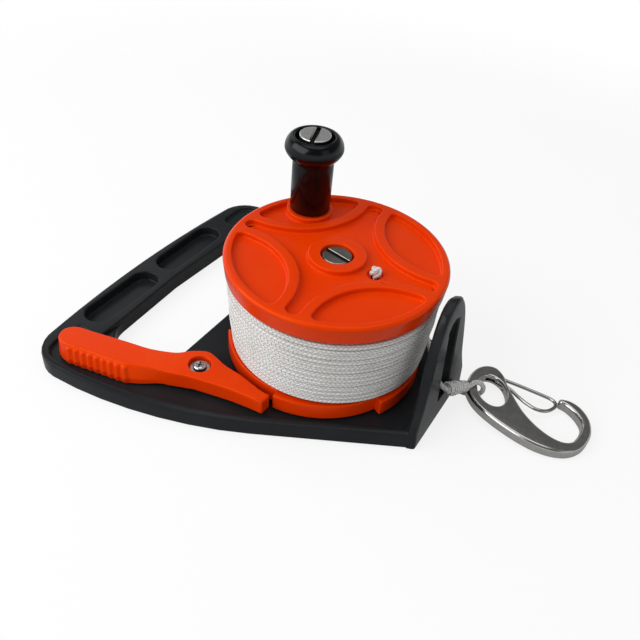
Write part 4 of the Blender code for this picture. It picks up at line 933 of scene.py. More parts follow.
@dataclass
class FreeLine:
    """The line from the drum through the guide to the snap hook."""

    radius: float = 1.1 * MM
    start_reach: float = 44.9 * MM
    start_angle: float = math.radians(35.9)
    start_height: float = 19.0 * MM
    lead_route: tuple[Point, ...] = (
        (0.04500, 0.01400, 0.01860), (0.05220, 0.00370, 0.01790),
        (0.05460, 0.00130, 0.01740), (0.05700, 0.00020, 0.01680),
        (0.05920, 0.00090, 0.01610), (0.06040, 0.00270, 0.01550),
        (0.06090, 0.00460, 0.01456))
    whipping_route: tuple[Point, ...] = (
        (0.05930, 0.00070, 0.01610), (0.06000, 0.00210, 0.01570),
        (0.06090, 0.00460, 0.01456),
        (0.06150, 0.00700, 0.01340), (0.06270, 0.01020, 0.01180),
        (0.06380, 0.01260, 0.01060))
    whipping_sizes: Pair = (2.75 * MM, 2.05 * MM)
    whipping_pitch: float = 0.90 * MM
    bound_route: tuple[Point, ...] = (
        (0.06150, 0.00700, 0.01340), (0.06270, 0.01020, 0.01180),
        (0.06400, 0.01300, 0.01030))
    loop_route: tuple[Point, ...] = (
        (0.06480, 0.01445, 0.00945), (0.06535, 0.01650, 0.00880),
        (0.06620, 0.01880, 0.00905), (0.06830, 0.02020, 0.00880),
        (0.06990, 0.02080, 0.00690), (0.07010, 0.02070, 0.00420),
        (0.06860, 0.02010, 0.00180), (0.06560, 0.01900, 0.00120),
        (0.06230, 0.01790, 0.00120), (0.06020, 0.01720, 0.00230),
        (0.05980, 0.01690, 0.00450), (0.06040, 0.01660, 0.00680),
        (0.06160, 0.01620, 0.00830), (0.06210, 0.01500, 0.00930))

    def run(self, material: bpy.types.Material) -> bpy.types.Object:
        """Return the free line: through the guide, the binding and the eye."""
        start = (*polar(self.start_reach, self.start_angle), self.start_height)
        route = [start, *self.lead_route, *self.bound_route, *self.loop_route]
        self.path = [point + Vector((SPOOL_X, 0.0, 0.0)) for point in spline(route, 7)]
        piece = tube("free_line", self.path, self.radius)
        return Bench.fit(piece, Body.FRAME, Slot.BRAID, material, "line_lead",
                         "line_eye_loop")

    def whipping(self, material: bpy.types.Material) -> bpy.types.Object:
        """Return the tight turns that bind the end loop, from the guide to the eye."""
        shift = Vector((SPOOL_X, 0.0, 0.0))
        middle = [point + shift for point in spline(list(self.whipping_route), 24)]
        length = run_length(middle)
        turns = round(length / self.whipping_pitch)
        steps = turns * 18
        path, run, index = [], 0.0, 0
        for step in range(steps + 1):
            target = length * step / steps
            while index < len(middle) - 2 and run + (middle[index + 1]
                                                     - middle[index]).length < target:
                run += (middle[index + 1] - middle[index]).length
                index += 1
            ahead = (middle[index + 1] - middle[index]).normalized()
            centre = middle[index] + ahead * (target - run)
            side = ahead.cross(Vector((0.0, 0.0, 1.0))).normalized()
            rise = side.cross(ahead)
            share = step / steps
            first, last = self.whipping_sizes
            size = first + (last - first) * share ** 1.5 + 0.14 * MM * math.sin(5.0 * share * turns)
            c, s = polar(size, 2 * math.pi * turns * share)
            path.append(centre + side * c + rise * s)
        wrap = tube("whipping_turns", path, self.whipping_pitch * 0.56, sides=8)
        core = tube("whipping_core", middle, self.whipping_sizes[1], sides=20)
        Bench.hold(wrap)
        core.select_set(True)
        bpy.ops.object.join()
        return Bench.fit(wrap, Body.FRAME, Slot.BRAID, material, "line_whipping")

    def build(self, material: bpy.types.Material, wrapped: bpy.types.Material,
              with_pieces: list[bpy.types.Object]) -> None:
        """Args:
            material: the line's finish.
            wrapped: the finish of the turns that bind it.
            with_pieces: the snap hook's pieces, which hang on it; not used.
        """
        piece = self.run(material)
        bound = [self.whipping(wrapped)]
        length = run_length(self.path)
        log.info("free line of %.1f mm", length / MM)


@dataclass
class WoundLine:
    """The outer layer of line on the drum, and the layers that show under it."""

    half_across: float = 1.05 * MM
    half_tall: float = 1.27 * MM
    pitch: float = 2.65 * MM
    loops: int = 13
    radius: float = 41.5 * MM
    fullness: float = 3.4 * MM
    low: float = 15.9 * MM
    high: float = 52.8 * MM
    bore: float = 15.3 * MM
    end_angle: float = math.radians(75.0)
    bend: float = 3.5 * MM
    line_radius: float = 1.1 * MM
    points_per_loop: int = 120
    knot_reach: float = 18.2 * MM
    knot_base: float = 58.2 * MM
    knot_size: float = 1.65 * MM
    knot_line: float = 0.95 * MM

    def reach(self, height: float) -> float:
        """Return the outer layer's radius at a height: fuller under the top flange."""
        share = (height - self.low) / (self.high - self.low)
        return self.radius + self.fullness * min(1.0, max(0.0, share)) ** 0.55

    def outer_path(self) -> list[Vector]:
        """Return the centreline: out of the core, even loops, and back in."""
        top = self.high - self.line_radius
        points = []

        def place(angle: float, radial: float, along: float, height: float) -> None:
            """Add a point at a radial and tangential offset at an angle."""
            c, s = polar(1.0, angle)
            points.append(Vector((radial * c - along * s, radial * s + along * c, height)))

        inner = self.reach(top) - self.bend
        place(self.end_angle, inner - 2 * self.line_radius, -self.bend, top)
        for step in range(6):
            turn = math.pi / 2 * (1 - step / 6)
            place(self.end_angle, inner + self.bend * math.cos(turn),
                  -self.bend * math.sin(turn), top)
        count = self.loops * self.points_per_loop
        for index in range(count + 1):
            turns = index / self.points_per_loop
            ends = min(1.0, turns, self.loops - turns)
            wave = 0.13 * math.sin(2.33 * turns + 0.4) + 0.09 * math.sin(10.1 * turns)
            swell = 0.10 * math.sin(5.3 * turns + 1.0) + 0.06 * math.sin(17.3 * turns)
            height = top - self.pitch * turns + wave * ends * MM
            place(self.end_angle + 2 * math.pi * turns,
                  self.reach(height) + swell * ends * MM, 0.0, height)
        bottom = top - self.pitch * self.loops
        inner = self.reach(bottom) - self.bend
        for step in range(1, 7):
            turn = math.pi / 2 * step / 6
            place(self.end_angle, inner + self.bend * math.cos(turn),
                  self.bend * math.sin(turn), bottom)
        place(self.end_angle, inner - 2 * self.line_radius, self.bend, bottom)
        return points

    def outer_layer(self, material: bpy.types.Material) -> bpy.types.Object:
        """Return the layer that shows."""
        piece = tube("outer_layer", self.outer_path(), self.half_across, self.half_tall, 12)
        Bench.onto_spool(piece)
        return Bench.fit(piece, Body.SPOOL, Slot.BRAID, material, "line_winding")

    def inner_layers(self, material: bpy.types.Material) -> bpy.types.Object:
        """Return the layers beneath, their rows set half a pitch off the outer ones."""
        sunk = 2.72 * self.line_radius
        first = self.low + self.pitch / 2
        profile = [(self.bore, self.low), (self.reach(self.low) - sunk, self.low)]
        for row in range(self.loops):
            middle = first + row * self.pitch
            for step in range(7):
                height = middle + self.pitch / 2 * (step / 3 - 1) * 0.98
                out = math.sin(math.pi * step / 6)
                profile.append((self.reach(height) - sunk + self.line_radius * out, height))
        profile += [(self.reach(self.high) - sunk, self.high), (self.bore, self.high)]
        piece = Bench.turned("inner_layers", profile, 144, closed=True)
        layer = piece.data.uv_layers.new(name="line")
        for face in piece.data.polygons:
            angles = []
            for loop in face.loop_indices:
                point = piece.data.vertices[piece.data.loops[loop].vertex_index].co
                angles.append(math.atan2(point.y, point.x))
            crosses = max(angles) - min(angles) > math.pi
            for loop, angle in zip(face.loop_indices, angles):
                point = piece.data.vertices[piece.data.loops[loop].vertex_index].co
                angle += 2 * math.pi if crosses and angle < 0.0 else 0.0
                layer.data[loop].uv = (angle * self.radius, point.z / self.pitch * 0.5)
        Bench.shade(piece, 60.0, weighted=False)
        Bench.onto_spool(piece)
        return Bench.fit(piece, Body.SPOOL, Slot.BRAID, material, "line_core")

    def end_knot(self, material: bpy.types.Material) -> bpy.types.Object:
        """Return the knot that ties the line's inner end in the flange."""
        size = self.knot_size
        points = []
        for step in range(96):
            turn = 2 * math.pi * step / 96
            reach = size * (0.62 + 0.42 * math.cos(3 * turn))
            points.append(Vector((reach * math.cos(2 * turn), reach * math.sin(2 * turn),
                                  size * 0.62 * math.sin(3 * turn))))
        piece = tube("end_knot", points, self.knot_line, sides=14, closed=True)
        tail = tube("knot_tail", [Vector((0.0, 0.0, -5.0 * MM)), Vector((0.0, 0.0, -2.0 * MM)),
                                  Vector((0.2 * MM, 0.1 * MM, 0.0))], self.knot_line)
        Bench.hold(piece)
        tail.select_set(True)
        bpy.ops.object.join()
        Bench.move(piece, (self.knot_reach, 0.0, self.knot_base + 2.45 * MM))
        Bench.onto_spool(piece)
        return Bench.fit(piece, Body.SPOOL, Slot.BRAID, material, "line_end_knot")

    def build(self, material: bpy.types.Material) -> None:
        """Wind the drum."""
        self.outer_layer(material)
        self.inner_layers(material)
        self.end_knot(material)


# ---------------------------------------------------------------------- spool


@dataclass
class Spool:
    """Top flange with its star and leaf pockets, and the toothed lower flange."""

    bore: float = 4.9 * MM
    hub_wall: float = 3.5 * MM
    foot: float = 15.9 * MM
    flange_bottom: float = 53.1 * MM
    flange_top: float = 61.75 * MM
    flange_radius: float = 47.25 * MM
    taper: float = 0.7 * MM
    rim_round: float = 1.6 * MM
    boss_radius: float = 12.4 * MM
    boss_recess: float = 7.07 * MM
    boss_floor: float = 57.15 * MM
    face_angle: float = math.radians(5.5)
    face_depth: float = 2.5 * MM
    face_rim: float = 3.7 * MM
    leaf_offset: float = 54.6 * MM
    leaf_radii: tuple[float, ...] = (30.6 * MM, 30.6 * MM, 31.5 * MM, 30.6 * MM)
    ridges: tuple[float, ...] = (4.5 * MM, 4.5 * MM, 4.6 * MM, 4.5 * MM)
    star_round: float = 2.7 * MM
    leaf_round: float = 2.2 * MM
    mark_place: Pair = (-18.4 * MM, 9.2 * MM)
    mark_radius: float = 0.5 * MM
    mark_height: float = 0.16 * MM
    arms: int = 4
    knob_reach: float = 36.2 * MM
    knob_boss: float = 10.3 * MM
    knob_bore: float = 3.3 * MM
    nut_corner: float = 5.9 * MM
    nut_depth: float = 4.4 * MM
    knot_reach: float = 18.2 * MM
    knot_hole: float = 1.6 * MM
    knot_seat: float = 3.3 * MM
    knot_seat_depth: float = 1.4 * MM
    face_ease: float = 0.65 * MM
    tooth_tip: float = 45.3 * MM
    tooth_depth: float = 3.5 * MM
    teeth: int = 6
    tooth_steps: int = 24
    tooth_phase: float = math.radians(-90.0)
    ratchet_bottom: float = 8.0 * MM
    ratchet_top: float = 15.6 * MM
    ratchet_ease: float = 0.7 * MM
    core_inner: float = 15.0 * MM
    core_outer: float = 37.5 * MM
    core_depth: float = 4.6 * MM

    @property
    def knob_angle(self) -> float:
        """The crank's angle on the face."""
        return self.face_angle + math.radians(135.0)

    def leaf_angle(self, arm: int) -> float:
        """Return the middle angle of a leaf pocket."""
        return self.face_angle + (arm + 0.5) * 2 * math.pi / self.arms

    def corner(self, arm: int, side: int, span: float, size: float) -> list[Pair]:
        """Return the rounded corner between a leaf's arc and the rim.

        Args:
            arm: the leaf's number.
            side: 1 for the corner on its anticlockwise side, -1 for the other.
            span: the arc's radius; the corner lies outside it for the star.
            size: the corner's radius, below zero where it lies outside the arc.

        Returns:
            Points from the arc to the rim.
        """
        outer = self.flange_radius - self.face_rim
        reach = outer - abs(size)
        away = span - size
        turn = math.acos((reach ** 2 + self.leaf_offset ** 2 - away ** 2)
                         / (2 * reach * self.leaf_offset))
        angle = self.leaf_angle(arm)
        middle = Vector(polar(reach, angle + side * turn))
        leaf = Vector(polar(self.leaf_offset, angle))
        on_arc = leaf + (middle - leaf).normalized() * span
        return arc(tuple(middle), tuple(on_arc), tuple(middle.normalized() * outer), 7)

    def star_tool(self, low: float, high: float) -> bpy.types.Object:
        """Return the cutter of the star recess: four round-ended arms, less the boss."""
        spans = [radius + ridge for radius, ridge in zip(self.leaf_radii, self.ridges)]
        outline: list[Pair] = []
        for arm in range(self.arms):
            span, next_span = spans[arm], spans[(arm + 1) % self.arms]
            before = self.corner(arm, 1, span, -self.star_round)
            after = self.corner(arm + 1, -1, next_span, -self.star_round)[::-1]
            leaf = polar(self.leaf_offset, self.leaf_angle(arm))
            following = polar(self.leaf_offset, self.leaf_angle(arm + 1))
            near = polar(self.leaf_offset - span, self.leaf_angle(arm))
            onward = polar(self.leaf_offset - next_span, self.leaf_angle(arm + 1))
            outline += arc(leaf, near, before[0], 20)[:-1] + before
            outline += arc((0.0, 0.0), before[-1], after[0], 3)[1:-1] + after
            outline += arc(following, after[-1], onward, 20)[1:-1]
        tool = Bench.loft("star", [(outline, low), (outline, high)])
        boss = Bench.cylinder("boss", self.boss_radius, low - MM, high + MM, segments=96)
        return Bench.join(tool, boss)

    def leaf_tool(self, arm: int, low: float, high: float) -> bpy.types.Object:
        """Return the cutter of one leaf pocket, round the crank's boss where it stands."""
        span = self.leaf_radii[arm]
        before = self.corner(arm, -1, span, self.leaf_round)
        after = self.corner(arm, 1, span, self.leaf_round)[::-1]
        leaf = polar(self.leaf_offset, self.leaf_angle(arm))
        outline = before + arc((0.0, 0.0), before[-1], after[0], 40)[1:-1] + after
        outline += arc(leaf, after[-1], before[0], 40)[1:-1]
        tool = Bench.loft("leaf", [(outline, low), (outline, high)])
        if math.isclose(self.leaf_angle(arm), self.knob_angle):
            place = polar(self.knob_reach, self.knob_angle)
            Bench.join(tool, Bench.cylinder("crank_boss", self.knob_boss, low - MM,
                                            high + MM, place))
        return tool

    def top_flange(self, material: bpy.types.Material) -> bpy.types.Object:
        """Return the upper flange with its hub."""
        low = self.flange_radius - self.taper
        hub = self.bore + self.hub_wall
        rim = self.rim_round
        top = self.flange_top
        profile = [(self.bore, self.foot), (hub, self.foot), (hub, self.flange_bottom)]
        profile += quarter((low - MM, self.flange_bottom + MM), MM, -90.0, 0.0, 4)
        profile += quarter((self.flange_radius - rim, top - rim), rim, 3.0, 90.0, 6)
        profile += [(self.boss_recess, top), (self.boss_recess, self.boss_floor),
                    (self.bore, self.boss_floor)]
        piece = Bench.turned("top_flange", profile, 160, closed=True)
        floor = top - self.face_depth
        above = top + 2 * MM
        Bench.join(piece, self.star_tool(floor, above))
        for arm in range(self.arms):
            Bench.join(piece, self.leaf_tool(arm, floor, above))
        knot = (self.knot_reach, 0.0)
        crank = polar(self.knob_reach, self.knob_angle)
        under = self.flange_bottom - 2 * MM
        for tool in (Bench.cylinder("knot_hole", self.knot_hole, under, above, knot, 32),
                     Bench.cylinder("knot_seat", self.knot_seat,
                                    floor - self.knot_seat_depth, above, knot, 48),
                     Bench.cylinder("crank_bore", self.knob_bore, under, above, crank, 48),
                     Bench.cylinder("nut_pocket", self.nut_corner, under,
                                    self.flange_bottom + self.nut_depth, crank, 6)):
            Bench.join(piece, tool)
        Bench.clean(piece, 0.05)
        Bench.cut(piece)
        Bench.ease(piece, self.face_ease, 3, 40.0)
        Bench.join(piece, Bench.cylinder("mark", self.mark_radius, floor - MM,
                                         floor + self.mark_height, self.mark_place, 16), "UNION")
        Bench.shade(piece)
        Bench.onto_spool(piece)
        return Bench.fit(piece, Body.SPOOL, Slot.ORANGE, material, "spool_flange")

    def tooth_ring(self, material: bpy.types.Material) -> bpy.types.Object:
        """Return the saw-toothed lower flange."""
        bpy.ops.object.select_all(action="DESELECT")
        per_tooth = self.tooth_steps + 1
        bpy.ops.mesh.primitive_circle_add(vertices=self.teeth * per_tooth,
                                          radius=self.tooth_tip, fill_type="NGON",
                                          location=(0.0, 0.0, self.ratchet_bottom))
        piece = bpy.context.object
        piece.name = "tooth_ring"
        bpy.ops.object.transform_apply(location=True)
        pitch = 2 * math.pi / self.teeth
        order = sorted(piece.data.vertices, key=lambda v: math.atan2(v.co.y, v.co.x) % (2 * math.pi))
        for index, vert in enumerate(order):
            tooth, step = divmod(index, per_tooth)
            share = step / self.tooth_steps
            angle = self.tooth_phase + pitch * (tooth + share)
            vert.co.xy = polar(self.tooth_tip - self.tooth_depth * share, angle)
        Bench.hold(piece)
        bpy.ops.object.mode_set(mode="EDIT")
        bpy.ops.mesh.select_all(action="SELECT")
        bpy.ops.mesh.extrude_region_move(TRANSFORM_OT_translate={
            "value": (0.0, 0.0, self.ratchet_top - self.ratchet_bottom)})
        bpy.ops.mesh.select_all(action="SELECT")
        bpy.ops.mesh.normals_make_consistent(inside=False)
        bpy.ops.object.mode_set(mode="OBJECT")
        under = self.ratchet_bottom - 2 * MM
        core = Bench.cylinder("core", self.core_outer, under,
                              self.ratchet_bottom + self.core_depth)
        Bench.join(core, Bench.cylinder("hub", self.core_inner, under - MM,
                                        self.ratchet_top))
        Bench.join(piece, core)
        Bench.join(piece, Bench.cylinder("bore", self.bore, under, self.ratchet_top + MM,
                                         segments=64))
        Bench.clean(piece, 0.05)
        Bench.ease(piece, self.ratchet_ease, 4, 40.0)
        Bench.shade(piece)
        Bench.onto_spool(piece)
        return Bench.fit(piece, Body.SPOOL, Slot.ORANGE, material, "ratchet_flange")

    def build(self, material: bpy.types.Material) -> None:
        """Make both flanges and dress the drum."""
        self.top_flange(material)
        self.tooth_ring(material)
        Bench.dress("spool_drum", material)


# ---------------------------------------------------------------------- screws


@dataclass
class SlottedScrew:
    """Cheese-head screw with a straight slot, on an upright axis."""

    name: str
    node: str
    body: Body
    place: Pair
    head_radius: float
    head_bottom: float
    head_top: float
    shank_radius: float
    shank_end: float
    slot_turn: float
    colour: Colour
    dull: Colour
    slot_width: float = 1.8 * MM
    slot_depth: float = 1.5 * MM
    ease: float = 0.42 * MM

    def build(self) -> bpy.types.Object:
        """Turn the screw, cut its slot and fit it."""
        profile = [(self.shank_radius - 0.4 * MM, self.shank_end),
                   (self.shank_radius, self.shank_end + 0.4 * MM),
                   (self.shank_radius, self.head_bottom), (self.head_radius, self.head_bottom),
                   (self.head_radius, self.head_top)]
        piece = Bench.turned(self.name, profile, 96)
        slot = Bench.block("slot", (3 * self.head_radius, self.slot_width, 2 * self.slot_depth),
                           (0.0, 0.0, self.head_top), self.slot_turn)
        Bench.join(piece, slot)
        Bench.clean(piece, 0.05)
        Bench.ease(piece, self.ease, 3, 40.0)
        Bench.shade(piece)
        Bench.move(piece, (*self.place, 0.0))
        finish = TurnedSteel(self.name + "_steel", self.place, self.head_top, self.colour,
                             self.dull)
        return Bench.fit(piece, self.body, Slot.STEEL, finish.material(), self.node)


@dataclass
class CrossScrew:
    """Pan-head screw with a cross recess, in the lever's counterbore."""

    place: Pair = (-9.2 * MM, -48.1 * MM)
    shank_radius: float = 1.4 * MM
    shank_end: float = 2.5 * MM
    head_radius: float = 2.9 * MM
    head_bottom: float = 14.0 * MM
    head_top: float = 15.4 * MM
    arm_length: float = 3.5 * MM
    arm_width: float = 0.62 * MM
    arm_depth: float = 1.0 * MM
    turn: float = math.radians(20.0)

    def build(self) -> bpy.types.Object:
        """Turn the screw, cut its cross and fit it."""
        radius, top = self.head_radius, self.head_top
        rise = top - self.head_bottom
        profile = [(self.shank_radius, self.shank_end), (self.shank_radius, self.head_bottom),
                   (radius, self.head_bottom)]
        for step in range(9):
            turn = math.pi / 2 * step / 9
            profile.append((radius * (0.45 + 0.55 * math.cos(turn)),
                            self.head_bottom + rise * (0.25 + 0.75 * math.sin(turn))))
        profile.append((radius * 0.30, top))
        piece = Bench.turned("lever_cross_screw", profile, 64)
        for side in (0.0, math.pi / 2):
            Bench.join(piece, Bench.block("arm", (self.arm_length, self.arm_width,
                                                  2 * self.arm_depth),
                                          (0.0, 0.0, top), self.turn + side))
        Bench.clean(piece, 0.05)
        Bench.ease(piece, 0.09 * MM, 2, 40.0)
        Bench.shade(piece)
        Bench.move(piece, (*self.place, 0.0))
        finish = TurnedSteel("cross_screw_steel", self.place, self.head_top,
                             roughness=0.16, slot_shade_depths=(0.45 * MM, 0.80 * MM))
        return Bench.fit(piece, Body.FRAME, Slot.STEEL, finish.material(), "lever_screw")


# ----------------------------------------------------------------- crank knob


@dataclass
class CrankKnob:
    """The turning grip with its bulb head and recessed screw."""

    place: Pair = (-1.633 * MM, 23.026 * MM)
    bore: float = 5.0 * MM
    base: float = 62.05 * MM
    top: float = 96.85 * MM
    base_radius: float = 8.95 * MM
    neck_radius: float = 9.0 * MM
    neck_height: float = 24.0 * MM
    head_radius: float = 12.7 * MM
    head_level: float = 29.5 * MM
    lip_radius: float = 9.3 * MM
    recess_radius: float = 8.4 * MM
    recess_floor: float = 92.85 * MM

    def grip(self, material: bpy.types.Material) -> bpy.types.Object:
        """Return the grip: straight shank, round bulb and a lip round the recess."""
        neck = self.base + self.neck_height
        wide = self.base + self.head_level
        outline = [(self.neck_radius, 0.0, neck - 3.0 * MM), (self.neck_radius, 0.0, neck)]
        flare = self.head_radius - self.neck_radius
        rise = wide - neck
        for out, up in ((0.20, 0.13), (0.50, 0.33), (0.79, 0.60), (0.95, 0.82), (1.0, 1.0)):
            outline.append((self.neck_radius + flare * out, 0.0, neck + rise * up))
        lip = self.head_radius - self.lip_radius
        for inward, up in ((0.10, 0.38), (0.35, 0.70), (0.65, 0.91), (1.0, 1.0)):
            outline.append((self.head_radius - lip * inward, 0.0,
                            wide + (self.top - wide) * up))
        profile = [(self.bore, self.base), (self.base_radius - 0.5 * MM, self.base),
                   (self.base_radius, self.base + 0.5 * MM)]
        profile += [(point.x, point.z) for point in spline(outline, 4)]
        profile += [(self.recess_radius + 0.5 * MM, self.top - 0.05 * MM),
                    (self.recess_radius + 0.1 * MM, self.top - 0.4 * MM),
                    (self.recess_radius, self.top - 0.9 * MM),
                    (self.recess_radius, self.recess_floor), (self.bore, self.recess_floor)]
        piece = Bench.turned("crank_grip", profile, 112, closed=True)
        Bench.shade(piece, 50.0, weighted=False)
        Bench.move(piece, (*self.place, 0.0))
        return Bench.fit(piece, Body.KNOB, Slot.GLOSS, material, "knob_grip")

    def build(self, material: bpy.types.Material, steel: bpy.types.Material) -> None:
        """Make the grip and its screw, and dress what holds them."""
        self.grip(material)
        SlottedScrew("crank_screw", "knob_screw", Body.SPOOL, self.place, 6.8 * MM,
                     94.55 * MM, 97.45 * MM, 3.0 * MM, 53.7 * MM, math.radians(109.3),
                     (0.80, 0.795, 0.78), (0.66, 0.655, 0.64)).build()
        for node in ("knob_sleeve", "knob_washer", "knob_nut"):
            Bench.dress(node, steel)


@dataclass
class Axle:
    """The bolt that the spool turns on, with its washers, sleeve and nut."""

    place: Pair = (SPOOL_X, 0.0)

    def build(self, steel: bpy.types.Material) -> None:
        """Make the bolt and dress the rest."""
        SlottedScrew("axle_screw", "axle_bolt", Body.FRAME, self.place, 6.2 * MM, 58.75 * MM,
                     60.95 * MM, 3.0 * MM, 0.7 * MM, math.radians(-10.7),
                     (0.42, 0.405, 0.375), (0.26, 0.25, 0.225)).build()
        for node in ("axle_sleeve", "axle_washer_upper", "axle_washer_lower", "axle_nut"):
            Bench.dress(node, steel)


# --------------------------------------------------------- frame, lever, snap


@dataclass
class HandleFrame:
    """The black moulding: bar, plate and guide wall."""

    ease: float = 0.8 * MM
    wall_ease: float = 1.8 * MM
    wall_foot: float = 15.0 * MM
    wall_shrink: float = 0.973
    wall_x: float = 78.0 * MM
    slot_shift: float = 1.0 * MM

    def build(self, material: bpy.types.Material) -> None:
        """Soften the CAD moulding's edges and dress it."""
        piece = Bench.copy_of("frame", "handle_frame")
        for vert in piece.data.vertices:
            if vert.co.z > self.wall_foot:
                vert.co.z = self.wall_foot + (vert.co.z - self.wall_foot) * self.wall_shrink
            if vert.co.z > 10 * MM and vert.co.x > self.wall_x and abs(vert.co.y) < 5.3 * MM:
                vert.co.y += self.slot_shift
        Bench.round_edges(piece, self.wall_ease, 4, 50.0, lambda a, b: (
            min(a.z, b.z) > self.wall_foot and min(a.x, b.x) > self.wall_x))
        foot = min(vert.co.z for vert in piece.data.vertices)
        Bench.cut(piece)
        Bench.ease(piece, self.ease, 3, 50.0)
        for vert in piece.data.vertices:
            vert.co.z = max(vert.co.z, foot)
        Bench.shade(piece)
        Bench.fit(piece, Body.FRAME, Slot.BLACK, material, "frame")


@dataclass
class LockLever:
    """The orange lever: flat arm, round-barred thumb pad and a recessed screw."""

    pivot: Pair = (-9.2 * MM, -48.1 * MM)
    length: float = 96.9 * MM
    bottom: float = 8.8 * MM
    top: float = 15.6 * MM
    tip_reach: float = 45.75 * MM
    tip_angles: Pair = (math.radians(-91.0), math.radians(-106.0))
    inner_shares: tuple[Point, ...] = (
        (0.175, 0.054, 0.0), (0.126, 0.057, 0.0), (0.086, 0.063, 0.003),
        (0.041, 0.076, 0.003), (0.0, 0.086, 0.003), (-0.035, 0.080, 0.003),
        (-0.089, 0.041, 0.003), (-0.119, 0.008, 0.003), (-0.157, -0.016, 0.003),
        (-0.243, -0.051, 0.003), (-0.341, -0.072, 0.003), (-0.440, -0.095, 0.003),
        (-0.540, -0.118, 0.003), (-0.594, -0.129, 0.003), (-0.628, -0.154, 0.003),
        (-0.639, -0.191, 0.020), (-0.619, -0.232, 0.044), (-0.583, -0.245, 0.058))
    outer_shares: tuple[Point, ...] = (
        (-0.560, -0.2446, 0.066), (-0.424, -0.2183, 0.069), (-0.288, -0.192, 0.072),
        (-0.237, -0.173, 0.068), (-0.181, -0.147, 0.058), (-0.129, -0.130, 0.038),
        (-0.073, -0.115, 0.020), (0.014, -0.086, 0.012), (0.106, -0.064, 0.011),
        (0.198, -0.045, 0.010), (0.291, -0.034, 0.007), (0.354, -0.030, 0.004))
    flare: float = 0.38
    drop: float = 0.25
    lean: float = 1.5 * MM
    bars: int = 9
    bar_pitch: float = 3.42 * MM
    bar_share: float = 0.72
    bar_depth: float = 1.2 * MM
    bar_step: float = 0.28 * MM
    recess: Pair = (4.9 * MM, 12.6 * MM)
    bore: float = 3.15 * MM
    pocket: Pair = (6.6 * MM, 3.1 * MM)
    tip_round: float = 1.3 * MM
    ease: float = 0.30 * MM

    def outline(self) -> list[tuple[float, float, float, float]]:
        """Return plan point, outward flare of the underside and bar height, all round."""
        rows: list[tuple[float, float, float, float]] = []
        start, end = self.tip_angles
        for step in range(7):
            x, y = polar(self.tip_reach, start + (end - start) * step / 6)
            rows.append((x + SPOOL_X - self.pivot[0], y - self.pivot[1], 0.0, 0.0))
        for point in spline([tuple(self.length * n for n in row)
                             for row in self.inner_shares], 3):
            rows.append((*point, 0.0))
        run = 0.0
        outer = spline([tuple(self.length * n for n in row) for row in self.outer_shares], 24)
        last = self.bars * self.bar_pitch
        kept = -1.0
        for index, point in enumerate(outer):
            if index:
                run += (point.xy - outer[index - 1].xy).length
            spacing = self.bar_step if run < last + MM else 8 * self.bar_step
            if run - kept < spacing and index < len(outer) - 1 and kept >= 0.0:
                continue
            kept = run
            share = (run / self.bar_pitch) % 1.0 / self.bar_share
            raised = run < last and share < 1.0
            rows.append((*point, self.bar_depth * math.sin(math.pi * share) ** 0.6
                         if raised else 0.0))
        return rows

    def pad_share(self, x: float) -> float:
        """Return how far a point belongs to the thumb pad, from 0 to 1."""
        return min(1.0, max(0.0, -x / self.length / 0.08 - 1.5))

    def body(self, material: bpy.types.Material) -> bpy.types.Object:
        """Return the lever's moulding."""
        rows = self.outline()
        plan = [row[:2] for row in rows]
        levels = []
        for height, flare, bar, inset in (
                (self.bottom, 1.0, 0.35, 0.0), (self.bottom + 0.5 * MM, 0.92, 0.85, 0.0),
                (self.bottom + 1.1 * MM, 0.83, 1.0, 0.0), (self.top - 1.75 * MM, 0.26, 1.0, 0.0),
                (self.top - 1.40 * MM, 0.20, 0.75, 0.0), (self.top - 1.20 * MM, 0.17, 0.3, 0.0),
                (self.top - 1.12 * MM, 0.16, 0.0, 0.0), (self.top - 0.55 * MM, 0.07, 0.0, 0.0),
                (self.top - 0.28 * MM, 0.03, 0.0, 0.10 * MM), (self.top - 0.09 * MM, 0.0, 0.0,
                                                               0.30 * MM),
                (self.top, 0.0, 0.0, 0.62 * MM)):
            points = grown(plan, [row[2] * self.flare * flare + row[3] * bar - inset
                                  for row in rows])
            levels.append(([(x + self.lean * flare * self.pad_share(x), y)
                            for x, y in points], height))
        piece = Bench.loft("lock_lever", levels)
        lower = dict()
        for point, row in zip(levels[0][0], rows):
            lower[(round(point[0], 6), round(point[1], 6))] = row[2] * self.drop
        for vert in piece.data.vertices:
            if vert.co.z < self.bottom + 0.01 * MM:
                vert.co.z -= lower.get((round(vert.co.x, 6), round(vert.co.y, 6)), 0.0)
        radius, floor = self.recess
        under = self.bottom - 4 * MM
        for tool in (Bench.cylinder("recess", radius, floor, self.top + MM),
                     Bench.cylinder("bore", self.bore, under, self.top + MM, segments=48),
                     Bench.cylinder("pocket", self.pocket[0], under,
                                    self.bottom + self.pocket[1])):
            Bench.join(piece, tool)
        tip = 0.30 * self.length
        Bench.round_edges(piece, self.tip_round, 4, 40.0, lambda a, b: (
            a.x > tip and b.x > tip and abs(a.z - b.z) > 2 * (a.xy - b.xy).length))
        Bench.ease(piece, self.ease, 3, 50.0)
        Bench.shade(piece, 50.0)
        Bench.move(piece, (*self.pivot, 0.0))
        return Bench.fit(piece, Body.LEVER, Slot.ORANGE, material, "lever")

    def build(self, material: bpy.types.Material, steel: bpy.types.Material) -> None:
        """Make the lever and its screw, and dress what it turns on."""
        self.body(material)
        CrossScrew().build()
        for node in ("lever_bush", "lever_washer", "lever_spring"):
            Bench.dress(node, steel)


